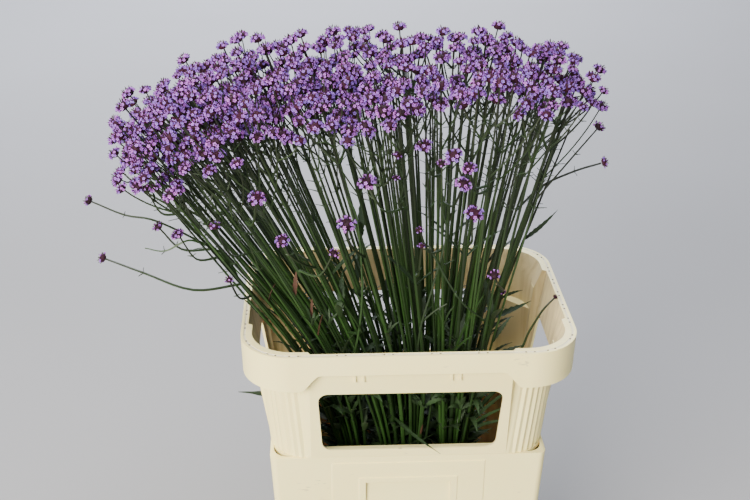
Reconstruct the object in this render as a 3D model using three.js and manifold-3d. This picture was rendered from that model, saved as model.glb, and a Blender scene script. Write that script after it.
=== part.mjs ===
// Tall verbena, cut and standing in water in a flower seller's bucket. A collar plugs into the
// bucket's mouth and carries the stems outwards. Forty-two stems stand in six bunches, and each
// stem ends in a spray of flower heads. Millimetres, +Z up, +X to the right, +Y to the back.
// The origin is the centre of the bucket's flat underside.
import * as THREE from 'three';
import Module from 'manifold-3d';
import { mergeVertices } from 'three/addons/utils/BufferGeometryUtils.js';

const wasm = await Module();
wasm.setup();

// Bucket and collar: driving dimensions.
const GAP = 0.3; // left between two pieces that touch
const RIM_LENGTH = 396; // outside, along X
const RIM_DEPTH = 296; // outside, along Y
const RIM_RADIUS = 60.5;
const BUCKET_HEIGHT = 263;
const COLLAR_HEIGHT = 157; // from the bucket's ledge to the rim's top
const WALL = 3;
const RIM_Z = BUCKET_HEIGHT + COLLAR_HEIGHT;

// The fan of stems: a stem of fan place (u, v), each from -1 to 1, starts near the middle of the
// floor, passes the rim and then leans outwards in a straight line. Two stems never cross.
const FLOOR_Z = 4;
const FOOT_CENTRE_X = 0;
const FOOT_REACH = [88, 72];
const MOUTH_CENTRE_X = -28;
const MOUTH_REACH = [160, 100];
const LEAN_CENTRE_X = -0.25; // mm sideways for each mm of height above the rim
const LEAN_REACH = [0.62, 0.15];
const ROUNDING = 0.13; // how far the corners of the fan are drawn in
const LEAN_ROUNDING = 0.38; // the same, of how far the stems lean outwards
const COLUMNS = 7;
const ROWS = 6;
const STEEP_COLUMNS = 2; // columns at the left that lean so far that their leaves stay low

// Canopy: heights above the rim.
const CANOPY_TOP = 314;
const DROP_LEFT = 110;
const DROP_MIDDLE = 20; // from the highest part, on the right, to the middle and the left
const DROP_RIGHT = 48;
const CORNER_RISE = 0.26; // how much less the right-hand corners drop
const UNEVENNESS = 16;

// Plant sizes.
const STEM_WIDTH = 4.8; // a verbena stem is square
const SPRAY_WIDTHS = [3.3, 2.8, 2.3]; // where the spray starts, at its upper node, at the head
const STALK_WIDTH = 2.2;
const NODE_LENGTH = 4; // of the joint that side stalks and leaves grow from
const HEAD_RADIUS = 10.6; // to the tips of the florets
const HEAD_HEIGHT = 12;
const END_HEAD_RADIUS = 8; // of the side heads at the left and right ends of the fan
const LEAF_THICKNESS = 0.8;
const BUNCH_RADIUS = 15; // of the bundled stem ends
const BUNCH_TOP_Z = 112;
const WATER_Z = 88;
const PLANT_SEED = 201;

const COLOURS = {
  plastic: 0xe2dcc3,
  water: 0x7d8a72,
  stem: 0x3e6a2e,
  head: 0x9a62b8,
};

const group = new THREE.Group();

// ---------------------------------------------------------------------------------------------
// Solids
// ---------------------------------------------------------------------------------------------

function toManifold(geometry) {
  const bare = geometry.clone();
  bare.deleteAttribute('normal');
  bare.deleteAttribute('uv');
  const merged = mergeVertices(bare, 1e-5);
  return new wasm.Manifold(new wasm.Mesh({
    numProp: 3,
    vertProperties: new Float32Array(merged.attributes.position.array),
    triVerts: new Uint32Array(merged.index.array),
  }));
}

function toGeometry(manifold) {
  const mesh = manifold.getMesh();
  const geometry = new THREE.BufferGeometry();
  geometry.setAttribute('position', new THREE.BufferAttribute(mesh.vertProperties, 3));
  geometry.setIndex(new THREE.BufferAttribute(mesh.triVerts, 1));
  return geometry;
}

function addMesh(name, geometry, colour, roughness) {
  geometry.computeVertexNormals();
  const material = new THREE.MeshStandardMaterial({ color: colour, roughness, metalness: 0 });
  const mesh = new THREE.Mesh(geometry, material);
  mesh.name = name;
  group.add(mesh);
}

// A closed skin that grows ring by ring. Rings are lists of vertex numbers, counter-clockwise
// seen from the end that the skin grows towards.
class Skin {
  constructor() {
    this.vertices = [];
    this.faces = [];
  }

  ring(points) {
    return points.map((point) => this.vertices.push(point) - 1);
  }

  // The side faces between two rings of one size; the sides listed in open are left out.
  band(lower, upper, open = []) {
    lower.forEach((_, k) => {
      if (!open.includes(k)) {
        const next = (k + 1) % lower.length;
        this.faces.push([lower[k], lower[next], upper[next]], [lower[k], upper[next], upper[k]]);
      }
    });
  }

  // The hole left by side k, as the first ring of a branch that grows out of it.
  side(lower, upper, k) {
    const next = (k + 1) % lower.length;
    return [lower[k], lower[next], upper[next], upper[k]];
  }

  capStart(ring) {
    for (let k = 2; k < ring.length; k += 1) this.faces.push([ring[0], ring[k], ring[k - 1]]);
  }

  capEnd(ring) {
    for (let k = 2; k < ring.length; k += 1) this.faces.push([ring[0], ring[k - 1], ring[k]]);
  }

  geometry() {
    const geometry = new THREE.BufferGeometry();
    geometry.setFromPoints(this.vertices);
    geometry.setIndex(this.faces.flat());
    return geometry;
  }
}

// A solid through level outlines, each a list of [x, y] points at its height z.
function loft(levels) {
  const skin = new Skin();
  const rings = levels.map(([z, outline]) =>
    skin.ring(outline.map(([x, y]) => new THREE.Vector3(x, y, z))));
  rings.slice(1).forEach((ring, k) => skin.band(rings[k], ring));
  skin.capStart(rings[0]);
  skin.capEnd(rings[rings.length - 1]);
  return toManifold(skin.geometry());
}

// An outline with round corners. Every second point of a corner is drawn in by the flute depth.
function roundedRectangle(halfX, halfY, radius, steps, flute = 0) {
  const outline = [];
  for (let corner = 0; corner < 4; corner += 1) {
    const centreX = (corner === 0 || corner === 3 ? 1 : -1) * (halfX - radius);
    const centreY = (corner < 2 ? 1 : -1) * (halfY - radius);
    for (let step = 0; step <= steps; step += 1) {
      const angle = ((corner + step / steps) * Math.PI) / 2;
      const reach = radius - (step % 2) * flute;
      outline.push([centreX + reach * Math.cos(angle), centreY + reach * Math.sin(angle)]);
    }
  }
  return outline;
}

function block(lowX, highX, lowY, highY, lowZ, highZ) {
  const geometry = new THREE.BoxGeometry(highX - lowX, highY - lowY, highZ - lowZ);
  geometry.translate((lowX + highX) / 2, (lowY + highY) / 2, (lowZ + highZ) / 2);
  return toManifold(geometry);
}

// A prism with its outline, of [across, height] points, seen along Y, or along X where turned.
function prism(outline, lowY, highY, turned = false) {
  const geometry = new THREE.ExtrudeGeometry(
    new THREE.Shape(outline.map(([x, z]) => new THREE.Vector2(x, z))),
    { depth: highY - lowY, bevelEnabled: false },
  );
  geometry.rotateX(Math.PI / 2);
  geometry.translate(0, highY, 0);
  if (turned) geometry.rotateZ(Math.PI / 2);
  return toManifold(geometry);
}

const joined = (solids) => solids.reduce((whole, solid) => whole.add(solid));
const mirrored = (solid) => [solid, toManifold(toGeometry(solid).rotateZ(Math.PI))];

// ---------------------------------------------------------------------------------------------
// Bucket: square-cornered, tapered, with a ledge round a round-cornered mouth
// ---------------------------------------------------------------------------------------------

const BUCKET_TOP = [168, 118]; // half length and half depth outside
const BUCKET_BOTTOM = [155, 105];
const BUCKET_RADIUS = 9;
const LEDGE_THICKNESS = 5;
const PLUG = [152, 102]; // half size of the collar's plug outside
const PLUG_RADIUS = 40;
const FIELD_HALF = [60, 94]; // raised fields: half width on the sides, and on the front and back
const FIELD_LOW = 40;
const FIELD_TOP = BUCKET_HEIGHT - 9;
const FIELD_PROUD = 1.2;
const FRAME_HALF = 61; // frame on the front and back fields
const FRAME_LOW = 70;
const FRAME_TOP = BUCKET_HEIGHT - 31;
const FRAME_PROUD = 2.4;
const POCKET_HALF = 52; // flat pocket inside the frame
const POCKET_LOW = 80;
const POCKET_TOP = BUCKET_HEIGHT - 38;

// Half size of the bucket outside at height z, grown by extra.
const bucketHalf = (axis, z, extra = 0) =>
  BUCKET_BOTTOM[axis] + ((BUCKET_TOP[axis] - BUCKET_BOTTOM[axis]) * z) / BUCKET_HEIGHT + extra;

// A flat-topped field on two opposite walls, from height low to high, |across| up to half.
function bucketField(axis, half, low, high, proud) {
  return loft([low, high].map((z) => {
    const reach = bucketHalf(axis, z, proud);
    const size = axis === 1 ? [half, reach] : [reach, half];
    return [z, roundedRectangle(size[0], size[1], 0.5, 1)];
  }));
}

function bucket() {
  const outside = loft([0, BUCKET_HEIGHT].map((z) =>
    [z, roundedRectangle(bucketHalf(0, z), bucketHalf(1, z), BUCKET_RADIUS, 3)]));
  const cavity = loft([FLOOR_Z - GAP, BUCKET_HEIGHT - LEDGE_THICKNESS].map((z) =>
    [z, roundedRectangle(bucketHalf(0, z, -WALL), bucketHalf(1, z, -WALL), BUCKET_RADIUS, 3)]));
  const mouth = loft([BUCKET_HEIGHT - 2 * LEDGE_THICKNESS, BUCKET_HEIGHT + 1].map((z) =>
    [z, roundedRectangle(PLUG[0] + GAP, PLUG[1] + GAP, PLUG_RADIUS, 6)]));
  const fields = [
    bucketField(0, FIELD_HALF[0], FIELD_LOW, FIELD_TOP, FIELD_PROUD),
    bucketField(1, FIELD_HALF[1], FIELD_LOW, FIELD_TOP, FIELD_PROUD),
    bucketField(1, FRAME_HALF, FRAME_LOW, FRAME_TOP, FRAME_PROUD),
  ];
  const pocketFace = bucketHalf(1, (POCKET_LOW + POCKET_TOP) / 2, FIELD_PROUD);
  const pocket = block(-POCKET_HALF, POCKET_HALF, -RIM_DEPTH, -pocketFace, POCKET_LOW, POCKET_TOP);
  return joined([outside, ...fields])
    .subtract(joined([cavity, mouth, ...mirrored(pocket)]));
}

// ---------------------------------------------------------------------------------------------
// Collar: fluted corner pillars, a slanted panel with a window on each side, a deep rim band
// ---------------------------------------------------------------------------------------------

const CORNER_INSET = [17.5, 30]; // pillar behind the rim's outside, at the rim and at the ledge
const PILLAR_RADIUS = 47;
const PANEL_INSET = [5, 30]; // window panel behind the rim's outside, likewise
const PANEL_HALF = [113, 66]; // half width of the front panel and of the side panel
const PANEL_SHOULDER = 8; // width of the slant beside a panel
const PANEL_EMBED = 1.5; // depth of a panel's edge inside the pillars' body
const FLUTE_STEPS = 18; // nine flutes round each pillar
const FLUTE_DEPTH = 1.3;
const BAND_LOW = RIM_Z - 46; // lower edge of the rim band at the corners
const BAND_HIGH = RIM_Z - 25; // and along the sides
const BAND_DRAFT = 1.2;
const ARCH = [[15, -0.25], [10, 0.2], [4, 0.75], [-4, 1]]; // past a panel's edge, share of the rise
const RIM_TOP = 4; // thickness of the rim's top
const WINDOW_HALF = [[109, 104], [54, 51]]; // half width at the top and bottom, front and side
const WINDOW_TOP = RIM_Z - 60;
const WINDOW_BOTTOM = RIM_Z - 141;
const WINDOW_RADIUS = 9;
const RIB_CENTRES = [-60.5, 51.5]; // pairs of short ribs under the band
const RIB_SPREAD = 5;
const RIB_WIDTH = 2;
const RIB_LENGTH = 14;
const RIB_PROUD = 3.2;
const PLUG_DEPTH = 26;
const FLOOR_MARGIN = 12; // overlap of the collar's floor over the plug

const insetAt = (inset, z) =>
  inset[1] + ((inset[0] - inset[1]) * (z - BUCKET_HEIGHT)) / COLLAR_HEIGHT;

// The pillars' body at height z, thinner by the given amount.
function pillarOutline(z, thinner, steps, flute) {
  const inset = insetAt(CORNER_INSET, z) + thinner;
  return roundedRectangle(RIM_LENGTH / 2 - inset, RIM_DEPTH / 2 - inset,
    PILLAR_RADIUS - thinner, steps, flute);
}

// Two opposite panels as one block. Axis 1 gives the front and the back, axis 0 the sides.
function panelOutline(axis, z, thinner) {
  const halfSize = axis === 1 ? RIM_DEPTH / 2 : RIM_LENGTH / 2;
  const face = halfSize - insetAt(PANEL_INSET, z) - thinner;
  const root = halfSize - insetAt(CORNER_INSET, z) - thinner - PANEL_EMBED;
  const half = PANEL_HALF[1 - axis] - thinner / 2;
  const quarter = [[half + PANEL_SHOULDER, root], [half, face]];
  const across = [...quarter, ...quarter.map(([a, b]) => [-a, b]).reverse(),
    ...quarter.map(([a, b]) => [-a, -b]), ...quarter.map(([a, b]) => [a, -b]).reverse()];
  return axis === 1 ? across : across.map(([a, b]) => [b, -a]);
}

function collarBody(thinner, low, high, steps, flute) {
  const levels = [low, high];
  return joined([
    loft(levels.map((z) => [z, pillarOutline(z, thinner, steps, flute)])),
    loft(levels.map((z) => [z, panelOutline(1, z, thinner)])),
    loft(levels.map((z) => [z, panelOutline(0, z, thinner)])),
  ]);
}

// The rim band, hollow from below and cut higher along the four sides.
function rimBand() {
  const skirt = loft([[BAND_LOW, BAND_DRAFT], [RIM_Z, 0]].map(([z, inset]) =>
    [z, roundedRectangle(RIM_LENGTH / 2 - inset, RIM_DEPTH / 2 - inset, RIM_RADIUS, 7)]));
  const hollow = loft([BAND_LOW - 1, RIM_Z - RIM_TOP].map((z) =>
    [z, roundedRectangle(RIM_LENGTH / 2 - WALL - 1, RIM_DEPTH / 2 - WALL - 1,
      RIM_RADIUS - WALL, 4)]));
  const arches = [0, 1].map((axis) => {
    const outline = ARCH.map(([past, share]) =>
      [PANEL_HALF[axis] + past, BAND_LOW + (BAND_HIGH - BAND_LOW) * share]);
    const whole = [...outline, ...outline.map(([x, z]) => [-x, z]).reverse()];
    return prism(whole, -RIM_LENGTH, RIM_LENGTH, axis === 1);
  });
  return skirt.subtract(hollow).subtract(joined(arches));
}

// A window through two opposite panels, a little narrower at the bottom.
function windowCut(axis) {
  const [top, bottom] = WINDOW_HALF[axis];
  const outline = roundedRectangle(top, (WINDOW_TOP - WINDOW_BOTTOM) / 2, WINDOW_RADIUS, 3)
    .map(([x, z]) => {
      const height = (WINDOW_TOP + WINDOW_BOTTOM) / 2 + z;
      const down = (WINDOW_TOP - height) / (WINDOW_TOP - WINDOW_BOTTOM);
      return [x * (1 - down * (1 - bottom / top)), height];
    });
  return prism(outline, -RIM_LENGTH, RIM_LENGTH, axis === 1);
}

// Pairs of short ribs on the front and back panels, under the band.
function ribs() {
  const low = BAND_HIGH - RIB_LENGTH;
  const face = RIM_DEPTH / 2 - insetAt(PANEL_INSET, low);
  const middles = RIB_CENTRES.flatMap((x) => [x - RIB_SPREAD, x + RIB_SPREAD]);
  return middles.flatMap((x) => mirrored(block(x - RIB_WIDTH / 2, x + RIB_WIDTH / 2,
    -face - RIB_PROUD, -face + 1, low, BAND_HIGH)));
}

function collar() {
  const foot = BUCKET_HEIGHT + GAP;
  const outside = collarBody(0, foot, RIM_Z - 1, FLUTE_STEPS, FLUTE_DEPTH);
  const inside = collarBody(WALL, foot + 1, RIM_Z + 1, 6, 0);
  const plug = loft([foot - PLUG_DEPTH, foot + 2].map((z) =>
    [z, roundedRectangle(PLUG[0], PLUG[1], PLUG_RADIUS, 6)]));
  const throat = loft([foot - PLUG_DEPTH - 1, foot + 4].map((z) =>
    [z, roundedRectangle(PLUG[0] - WALL, PLUG[1] - WALL, PLUG_RADIUS - WALL, 6)]));
  const floor = loft([foot + 0.5, foot + WALL].map((z) =>
    [z, roundedRectangle(PLUG[0] + FLOOR_MARGIN, PLUG[1] + FLOOR_MARGIN, PILLAR_RADIUS, 6)]));
  return joined([outside, rimBand(), ...ribs()])
    .subtract(inside)
    .add(joined([plug, floor]))
    .subtract(joined([throat, windowCut(0), windowCut(1)]));
}

// ---------------------------------------------------------------------------------------------
// The fan of stems
// ---------------------------------------------------------------------------------------------

// The point at height z on the line of fan place (u, v).
function fan(u, v, z) {
  const [place, leaning] = [ROUNDING, LEAN_ROUNDING].map((rounding) =>
    [u * (1 - rounding * v * v), v * (1 - rounding * u * u)]);
  const mouth = [MOUTH_CENTRE_X + MOUTH_REACH[0] * place[0], MOUTH_REACH[1] * place[1]];
  const lean = [LEAN_CENTRE_X + LEAN_REACH[0] * leaning[0], LEAN_REACH[1] * leaning[1]];
  const above = z - RIM_Z;
  if (above >= 0) {
    return new THREE.Vector3(mouth[0] + lean[0] * above, mouth[1] + lean[1] * above, z);
  }
  const foot = [FOOT_CENTRE_X + FOOT_REACH[0] * place[0], FOOT_REACH[1] * place[1]];
  const rise = RIM_Z - FLOOR_Z;
  const t = (z - FLOOR_Z) / rise;
  const share = t * t * (3 - 2 * t);
  const bend = rise * t * t * (t - 1);
  const [x, y] = [0, 1].map((k) => foot[k] * (1 - share) + mouth[k] * share + lean[k] * bend);
  return new THREE.Vector3(x, y, z);
}

// Evenly spread numbers from 0 to 1, the same in every run.
function seededRandom(seed) {
  let state = seed;
  return () => {
    state = (Math.imul(state, 1664525) + 1013904223) >>> 0;
    return state / 4294967296;
  };
}

// How far the canopy's surface lies below its top.
const canopyDrop = (u, v) => DROP_LEFT * Math.max(0, -u) ** 2.8
  + DROP_RIGHT * Math.max(0, u * (1 - CORNER_RISE * v * v)) ** 4
  + DROP_MIDDLE * (1 - THREE.MathUtils.smoothstep(u, 0, 0.4));

// Every stem's place, height and bearing. A stem keeps to its own cell of the fan.
function planStems() {
  const random = seededRandom(PLANT_SEED);
  const between = (low, high) => low + (high - low) * random();
  const stems = [];
  for (let column = 0; column < COLUMNS; column += 1) {
    for (let row = 0; row < ROWS; row += 1) {
      const cell = [(2 * column + 1) / COLUMNS - 1, (2 * row + 1) / ROWS - 1];
      const shift = [between(-0.28, 0.28) * (1 - 0.8 * cell[0] ** 2), between(-0.24, 0.24)];
      const place = [cell[0] + shift[0] / COLUMNS, cell[1] + shift[1] / ROWS];
      const outerDown = cell[0] < 0.2 ? [17, 28] : [8, 20]; // the canopy is thinner on the right
      const central = Math.abs(shift[0]) < 0.08 && Math.abs(shift[1]) < 0.12;
      const drop = canopyDrop(...place) + UNEVENNESS * random() ** 1.5;
      stems.push({
        column,
        row,
        cell,
        place,
        top: RIM_Z + CANOPY_TOP - drop,
        bearing: between(-0.25, 0.25),
        sprayLength: between(112, 146),
        upperNode: between(44, 58),
        lowerNode: between(76, 94),
        heads: [0, 1, 2, 3].map((k) => ({
          out: between(0.85, 1),
          aside: k % 2 === 0 ? between(0.7, 0.95) : between(0.32, 0.48),
          down: k % 2 === 0 ? between(...outerDown) : between(14, 20),
        })),
        sideRadius: column < STEEP_COLUMNS || column === COLUMNS - 1 ? END_HEAD_RADIUS : HEAD_RADIUS,
        headCount: random() < (central ? 0.8 : 0) ? 4 : 3,
        free: shift.map((value) => (value > 0 ? -1 : 1)),
        leafAt: between(0.28, column < STEEP_COLUMNS ? 0.54 : 0.86),
        leafTurn: between(-0.6, 0.6),
      });
    }
  }
  return stems;
}

// ---------------------------------------------------------------------------------------------
// Growing: stems, stalks, heads and leaves
// ---------------------------------------------------------------------------------------------

const UP = new THREE.Vector3(0, 0, 1);

// The four corners of a section at a point, for a skin that grows along the direction.
function section(centre, direction, across, halfWidth, halfDepth = halfWidth) {
  const y = new THREE.Vector3().crossVectors(direction, across).normalize();
  const x = new THREE.Vector3().crossVectors(y, direction).normalize();
  return [[-1, -1], [1, -1], [1, 1], [-1, 1]].map(([a, b]) =>
    centre.clone().addScaledVector(x, a * halfWidth).addScaledVector(y, b * halfDepth));
}

const towards = (from, to) => to.clone().sub(from).normalize();

// Grows a stalk from a ring through the points and returns its last ring and its direction.
function growStalk(skin, start, points, across, widths) {
  let ring = start;
  let direction = towards(points[0], points[1]);
  points.slice(1).forEach((point, k) => {
    const next = points[k + 2] ?? point;
    direction = towards(points[k], next);
    const upper = skin.ring(section(point, direction, across, widths[k] / 2));
    skin.band(ring, upper);
    ring = upper;
  });
  return { ring, direction };
}

// Shape of a head, as shares of its radius and height.
const SIDE_RISE = 0.48;
const NOTCH_REACH = 0.66;
const NOTCH_RISE = 0.36;
const UPPER_RISE = 0.88;
const CROWN_RISE = 1.05;

// Closes a stalk with a domed head. Four florets spread at its side, four rise above their
// notches, and one stands at the crown.
function growHead(skin, ring, centre, direction, across, radius, height) {
  const y = new THREE.Vector3().crossVectors(direction, across).normalize();
  const x = new THREE.Vector3().crossVectors(y, direction).normalize();
  const at = (turn, reach, rise) => {
    const angle = ((turn * 2 - 3) * Math.PI) / 4;
    return centre.clone().addScaledVector(direction, height * rise)
      .addScaledVector(x, radius * reach * Math.cos(angle))
      .addScaledVector(y, radius * reach * Math.sin(angle));
  };
  const corners = [0, 1, 2, 3];
  const side = skin.ring(corners.map((k) => at(k, 1, SIDE_RISE)));
  const notch = skin.ring(corners.map((k) => at(k + 0.5, NOTCH_REACH, NOTCH_RISE)));
  const upper = skin.ring(corners.map((k) => at(k + 0.5, NOTCH_REACH, UPPER_RISE)));
  const [crown] = skin.ring([at(0, 0, CROWN_RISE)]);
  corners.forEach((k) => {
    const next = (k + 1) % 4;
    const last = (k + 3) % 4;
    skin.faces.push([ring[k], ring[next], notch[k]], [ring[k], notch[k], side[k]],
      [ring[next], side[next], notch[k]], [notch[last], side[k], upper[last]],
      [side[k], upper[k], upper[last]], [side[k], notch[k], upper[k]],
      [upper[k], upper[next], crown]);
  });
}

// Half widths along a narrow leaf with two blunt teeth on each edge.
const LEAF_OUTLINE = [1.1, 4.4, 3.2, 4.7, 3.1, 0.7];

// Grows a leaf from a ring along the path.
function growLeaf(skin, start, path, across) {
  let ring = start;
  LEAF_OUTLINE.forEach((halfWidth, k) => {
    const share = (k + 1) / LEAF_OUTLINE.length;
    const direction = towards(path(share - 0.05), path(share + 0.05));
    const upper = skin.ring(section(path(share), direction, across, halfWidth,
      LEAF_THICKNESS / 2));
    skin.band(ring, upper);
    ring = upper;
  });
  skin.capEnd(ring);
}

// Height of the joint between a stem and its spray.
const sprayBase = (stem) => stem.top - stem.sprayLength;
const level = (angle) => new THREE.Vector3(Math.cos(angle), Math.sin(angle), 0);

// How far a head may stand from the middle of its cell, as fan places at height z. The fan's
// rounding narrows a cell and turns its sides.
function headRoom(stem, z) {
  const { cell } = stem;
  const grown = [0, 1].map((k) => [[MOUTH_REACH[k], ROUNDING],
    [LEAN_REACH[k] * (z - RIM_Z), LEAN_ROUNDING]]);
  const reach = grown.map((layers, k) => layers.reduce((sum, [size, rounding]) =>
    sum + size * (1 - rounding * cell[1 - k] ** 2), 0));
  const turn = grown.map((layers, k) => layers.reduce((sum, [size, rounding]) =>
    sum + 2 * size * rounding * Math.abs(cell[0] * cell[1]), 0) / reach[1 - k]);
  const lean = LEAN_CENTRE_X + LEAN_REACH[0] * cell[0];
  return [COLUMNS, ROWS].map((count, k) => {
    const margin = stem.sideRadius * Math.hypot(1, turn[k], k === 0 ? lean : 0);
    return 1 / count - (margin + 1.5) / reach[k];
  });
}

// The middle of the underside of side head k: 0 and 2 right and left, 1 and 3 back and front. Heads
// 1 and 3 stand on either side of the stem, and the first of them where the cell is freer.
function headPlace(stem, k) {
  const { out, aside, down } = stem.heads[k];
  const z = stem.top - down;
  const room = headRoom(stem, z);
  const sign = k < 2 ? 1 : -1;
  const [x, y] = stem.free;
  const shift = k % 2 === 0 ? [sign * out, -sign * x * y * aside] : [sign * x * aside, sign * y * out];
  return fan(stem.cell[0] + shift[0] * room[0], stem.cell[1] + shift[1] * room[1],
    z - HEAD_HEIGHT);
}

// The side stalks of a spray: the head, the side of the section (front, right, back and left in
// turn) and the ring that the stalk leaves from.
const SIDE_STALKS = [
  { head: 0, side: () => 1, leaves: 1 },
  { head: 2, side: () => 3, leaves: 1 },
  { head: 1, side: ({ free }) => 1 + free[1], leaves: 3 },
  { head: 3, side: ({ free }) => 1 - free[1], leaves: 3 },
];

// A spray: the top of a stem, with two pairs of crossed side stalks, each with its head.
function growSpray(stem) {
  const skin = new Skin();
  const across = level(stem.bearing);
  const nodes = [stem.top - stem.lowerNode, stem.top - stem.upperNode];
  const [low, middle, high] = SPRAY_WIDTHS.map((width) => width / 2);
  const levels = [[sprayBase(stem) + GAP, low], [nodes[0], low], [nodes[0] + NODE_LENGTH, low],
    [nodes[1], middle], [nodes[1] + NODE_LENGTH, middle], [stem.top - HEAD_HEIGHT, high]];
  const at = (z) => fan(stem.place[0], stem.place[1], z);
  const direction = towards(at(nodes[0]), at(nodes[1]));
  const rings = levels.map(([z, width]) => skin.ring(section(at(z), direction, across, width)));
  const stalks = SIDE_STALKS.slice(0, stem.headCount)
    .map((stalk) => ({ ...stalk, side: stalk.side(stem) }));
  skin.capStart(rings[0]);
  rings.slice(1).forEach((ring, k) => skin.band(rings[k], ring,
    stalks.filter(({ leaves }) => leaves === k).map(({ side }) => side)));
  growHead(skin, rings[5], at(stem.top - HEAD_HEIGHT), direction, across, HEAD_RADIUS, HEAD_HEIGHT);
  stalks.forEach(({ head, side, leaves }) => {
    const hole = skin.side(rings[leaves], rings[leaves + 1], side);
    const start = at(levels[leaves][0] + NODE_LENGTH / 2);
    const end = headPlace(stem, head);
    const bend = start.clone().lerp(end, 0.6).setZ((start.z + end.z) / 2);
    const aside = towards(skin.vertices[hole[0]], skin.vertices[hole[1]]);
    const stalk = growStalk(skin, hole, [start, bend, end], aside, [STALK_WIDTH, STALK_WIDTH]);
    growHead(skin, stalk.ring, end, stalk.direction, aside, stem.sideRadius, HEAD_HEIGHT);
  });
  return skin.geometry();
}

const BUNCH_COLUMNS = [0, 0, 1, 1, 1, 2, 2]; // the bunch that each column of stems belongs to
const BUNCH_ROWS = [0, 0, 0, 1, 1, 1];
const BENDS = [195, 280, 350, 420]; // heights at which a stem turns towards its lean
const NODE_CLEARANCE = 14;
const FOOT_OVERLAP = 14; // how far a stem starts inside the bundled stem ends
const SPREAD_TOP = RIM_Z - 40; // height from which the stems of a bunch are fully spread
const FOOT_SPREAD = 0.25;
const LEAF_LENGTH = [46, 68]; // lowest and highest leaf
const LEAF_RUN = [0.62, 0.1]; // sideways, as shares of the length: straight and bent
const LEAF_RISE = [0.78, -0.14];

// A stem's fan place at height z: bundled at the bunch's foot, spread from the rim up.
function stemPoint(stem, bunch, z) {
  const t = THREE.MathUtils.smoothstep(z, BUNCH_TOP_Z, SPREAD_TOP);
  const spread = THREE.MathUtils.lerp(FOOT_SPREAD, 1, t);
  const [u, v] = [0, 1].map((k) => bunch.centre[k] + (stem.place[k] - bunch.centre[k]) * spread);
  return fan(u, v, z);
}

// A square stem with one leaf, which leans towards the middle of its bunch.
function growStem(stem, bunch) {
  const skin = new Skin();
  const across = level(stem.bearing);
  const low = BUNCH_TOP_Z - FOOT_OVERLAP;
  const high = sprayBase(stem);
  const node = low + (high - low) * stem.leafAt;
  const bends = BENDS.filter((z) => Math.abs(z - node) > NODE_CLEARANCE);
  const levels = [low, ...bends, node, node + NODE_LENGTH, high];
  SHOOTS.filter(({ column, row }) => column === stem.column && row === stem.row)
    .forEach(({ from }) => levels.push(RIM_Z + from));
  levels.sort((a, b) => a - b);
  const leafLevel = levels.indexOf(node);
  const at = (z) => stemPoint(stem, bunch, z);
  const rings = levels.map((z, k) => {
    const direction = k === levels.length - 1 ? towards(at(high), fan(...stem.place, high + 40))
      : towards(at(z - 8), at(z + 8));
    const width = THREE.MathUtils.lerp(STEM_WIDTH, SPRAY_WIDTHS[0], k / (levels.length - 1));
    return skin.ring(section(at(z), direction, across, width / 2));
  });
  const inward = Math.atan2(bunch.centre[1] - stem.cell[1], bunch.centre[0] - stem.cell[0]);
  const quarter = Math.round((inward - stem.bearing) / (Math.PI / 2));
  const side = (((quarter + 1) % 4) + 4) % 4;
  skin.capStart(rings[0]);
  rings.slice(1).forEach((ring, k) => skin.band(rings[k], ring, k === leafLevel ? [side] : []));
  skin.capEnd(rings[rings.length - 1]);
  const hole = skin.side(rings[leafLevel], rings[leafLevel + 1], side);
  const angle = stem.bearing + (quarter * Math.PI) / 2 + stem.leafTurn * 0.4;
  const length = THREE.MathUtils.lerp(...LEAF_LENGTH, stem.leafAt);
  const leafPath = (t) => at(node + NODE_LENGTH / 2)
    .addScaledVector(level(angle), length * (LEAF_RUN[0] * t + LEAF_RUN[1] * t * t))
    .addScaledVector(UP, length * (LEAF_RISE[0] * t + LEAF_RISE[1] * t * t));
  growLeaf(skin, hole, leafPath, towards(skin.vertices[hole[0]], skin.vertices[hole[1]]));
  return toManifold(skin.geometry());
}

// Side shoots that stand clear of the canopy. Each leaves the given side of a stem, runs through
// three points and ends in one head. Heights are above the rim.
const SHOOTS = [
  { column: 0, row: 2, side: 3, from: 66, radius: 8,
    route: [[-290, -32, 119], [-330, -28, 127], [-368, -22, 142]] },
  { column: 0, row: 1, side: 3, from: 44, radius: 7.5,
    route: [[-250, -84, 56], [-306, -78, 76], [-350, -66, 89]] },
  { column: 6, row: 2, side: 1, from: 118, radius: 8.5,
    route: [[162, -18, 146], [200, -2, 186], [227, 12, 212]] },
  { column: 6, row: 3, side: 1, from: 108, radius: 7.5,
    route: [[168, 26, 134], [206, 24, 154], [238, 20, 166]] },
  { column: 3, row: 0, side: 0, from: 100, radius: 11.5,
    route: [[-64, -130, 124], [-72, -148, 145], [-74, -156, 164]] },
  { column: 2, row: 0, side: 0, from: 86, radius: 9,
    route: [[-122, -124, 106], [-136, -142, 126], [-142, -150, 144]] },
  { column: 5, row: 0, side: 0, from: 108, radius: 11.5,
    route: [[64, -128, 132], [62, -144, 153], [62, -152, 172]] },
  { column: 6, row: 0, side: 0, from: 44, radius: 8,
    route: [[106, -106, 60], [97, -123, 76], [92, -130, 89]] },
  { column: 6, row: 1, side: 1, from: -54, radius: 5,
    route: [[126, -50, -42], [156, -38, -20], [174, -28, 0]] },
];

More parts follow.
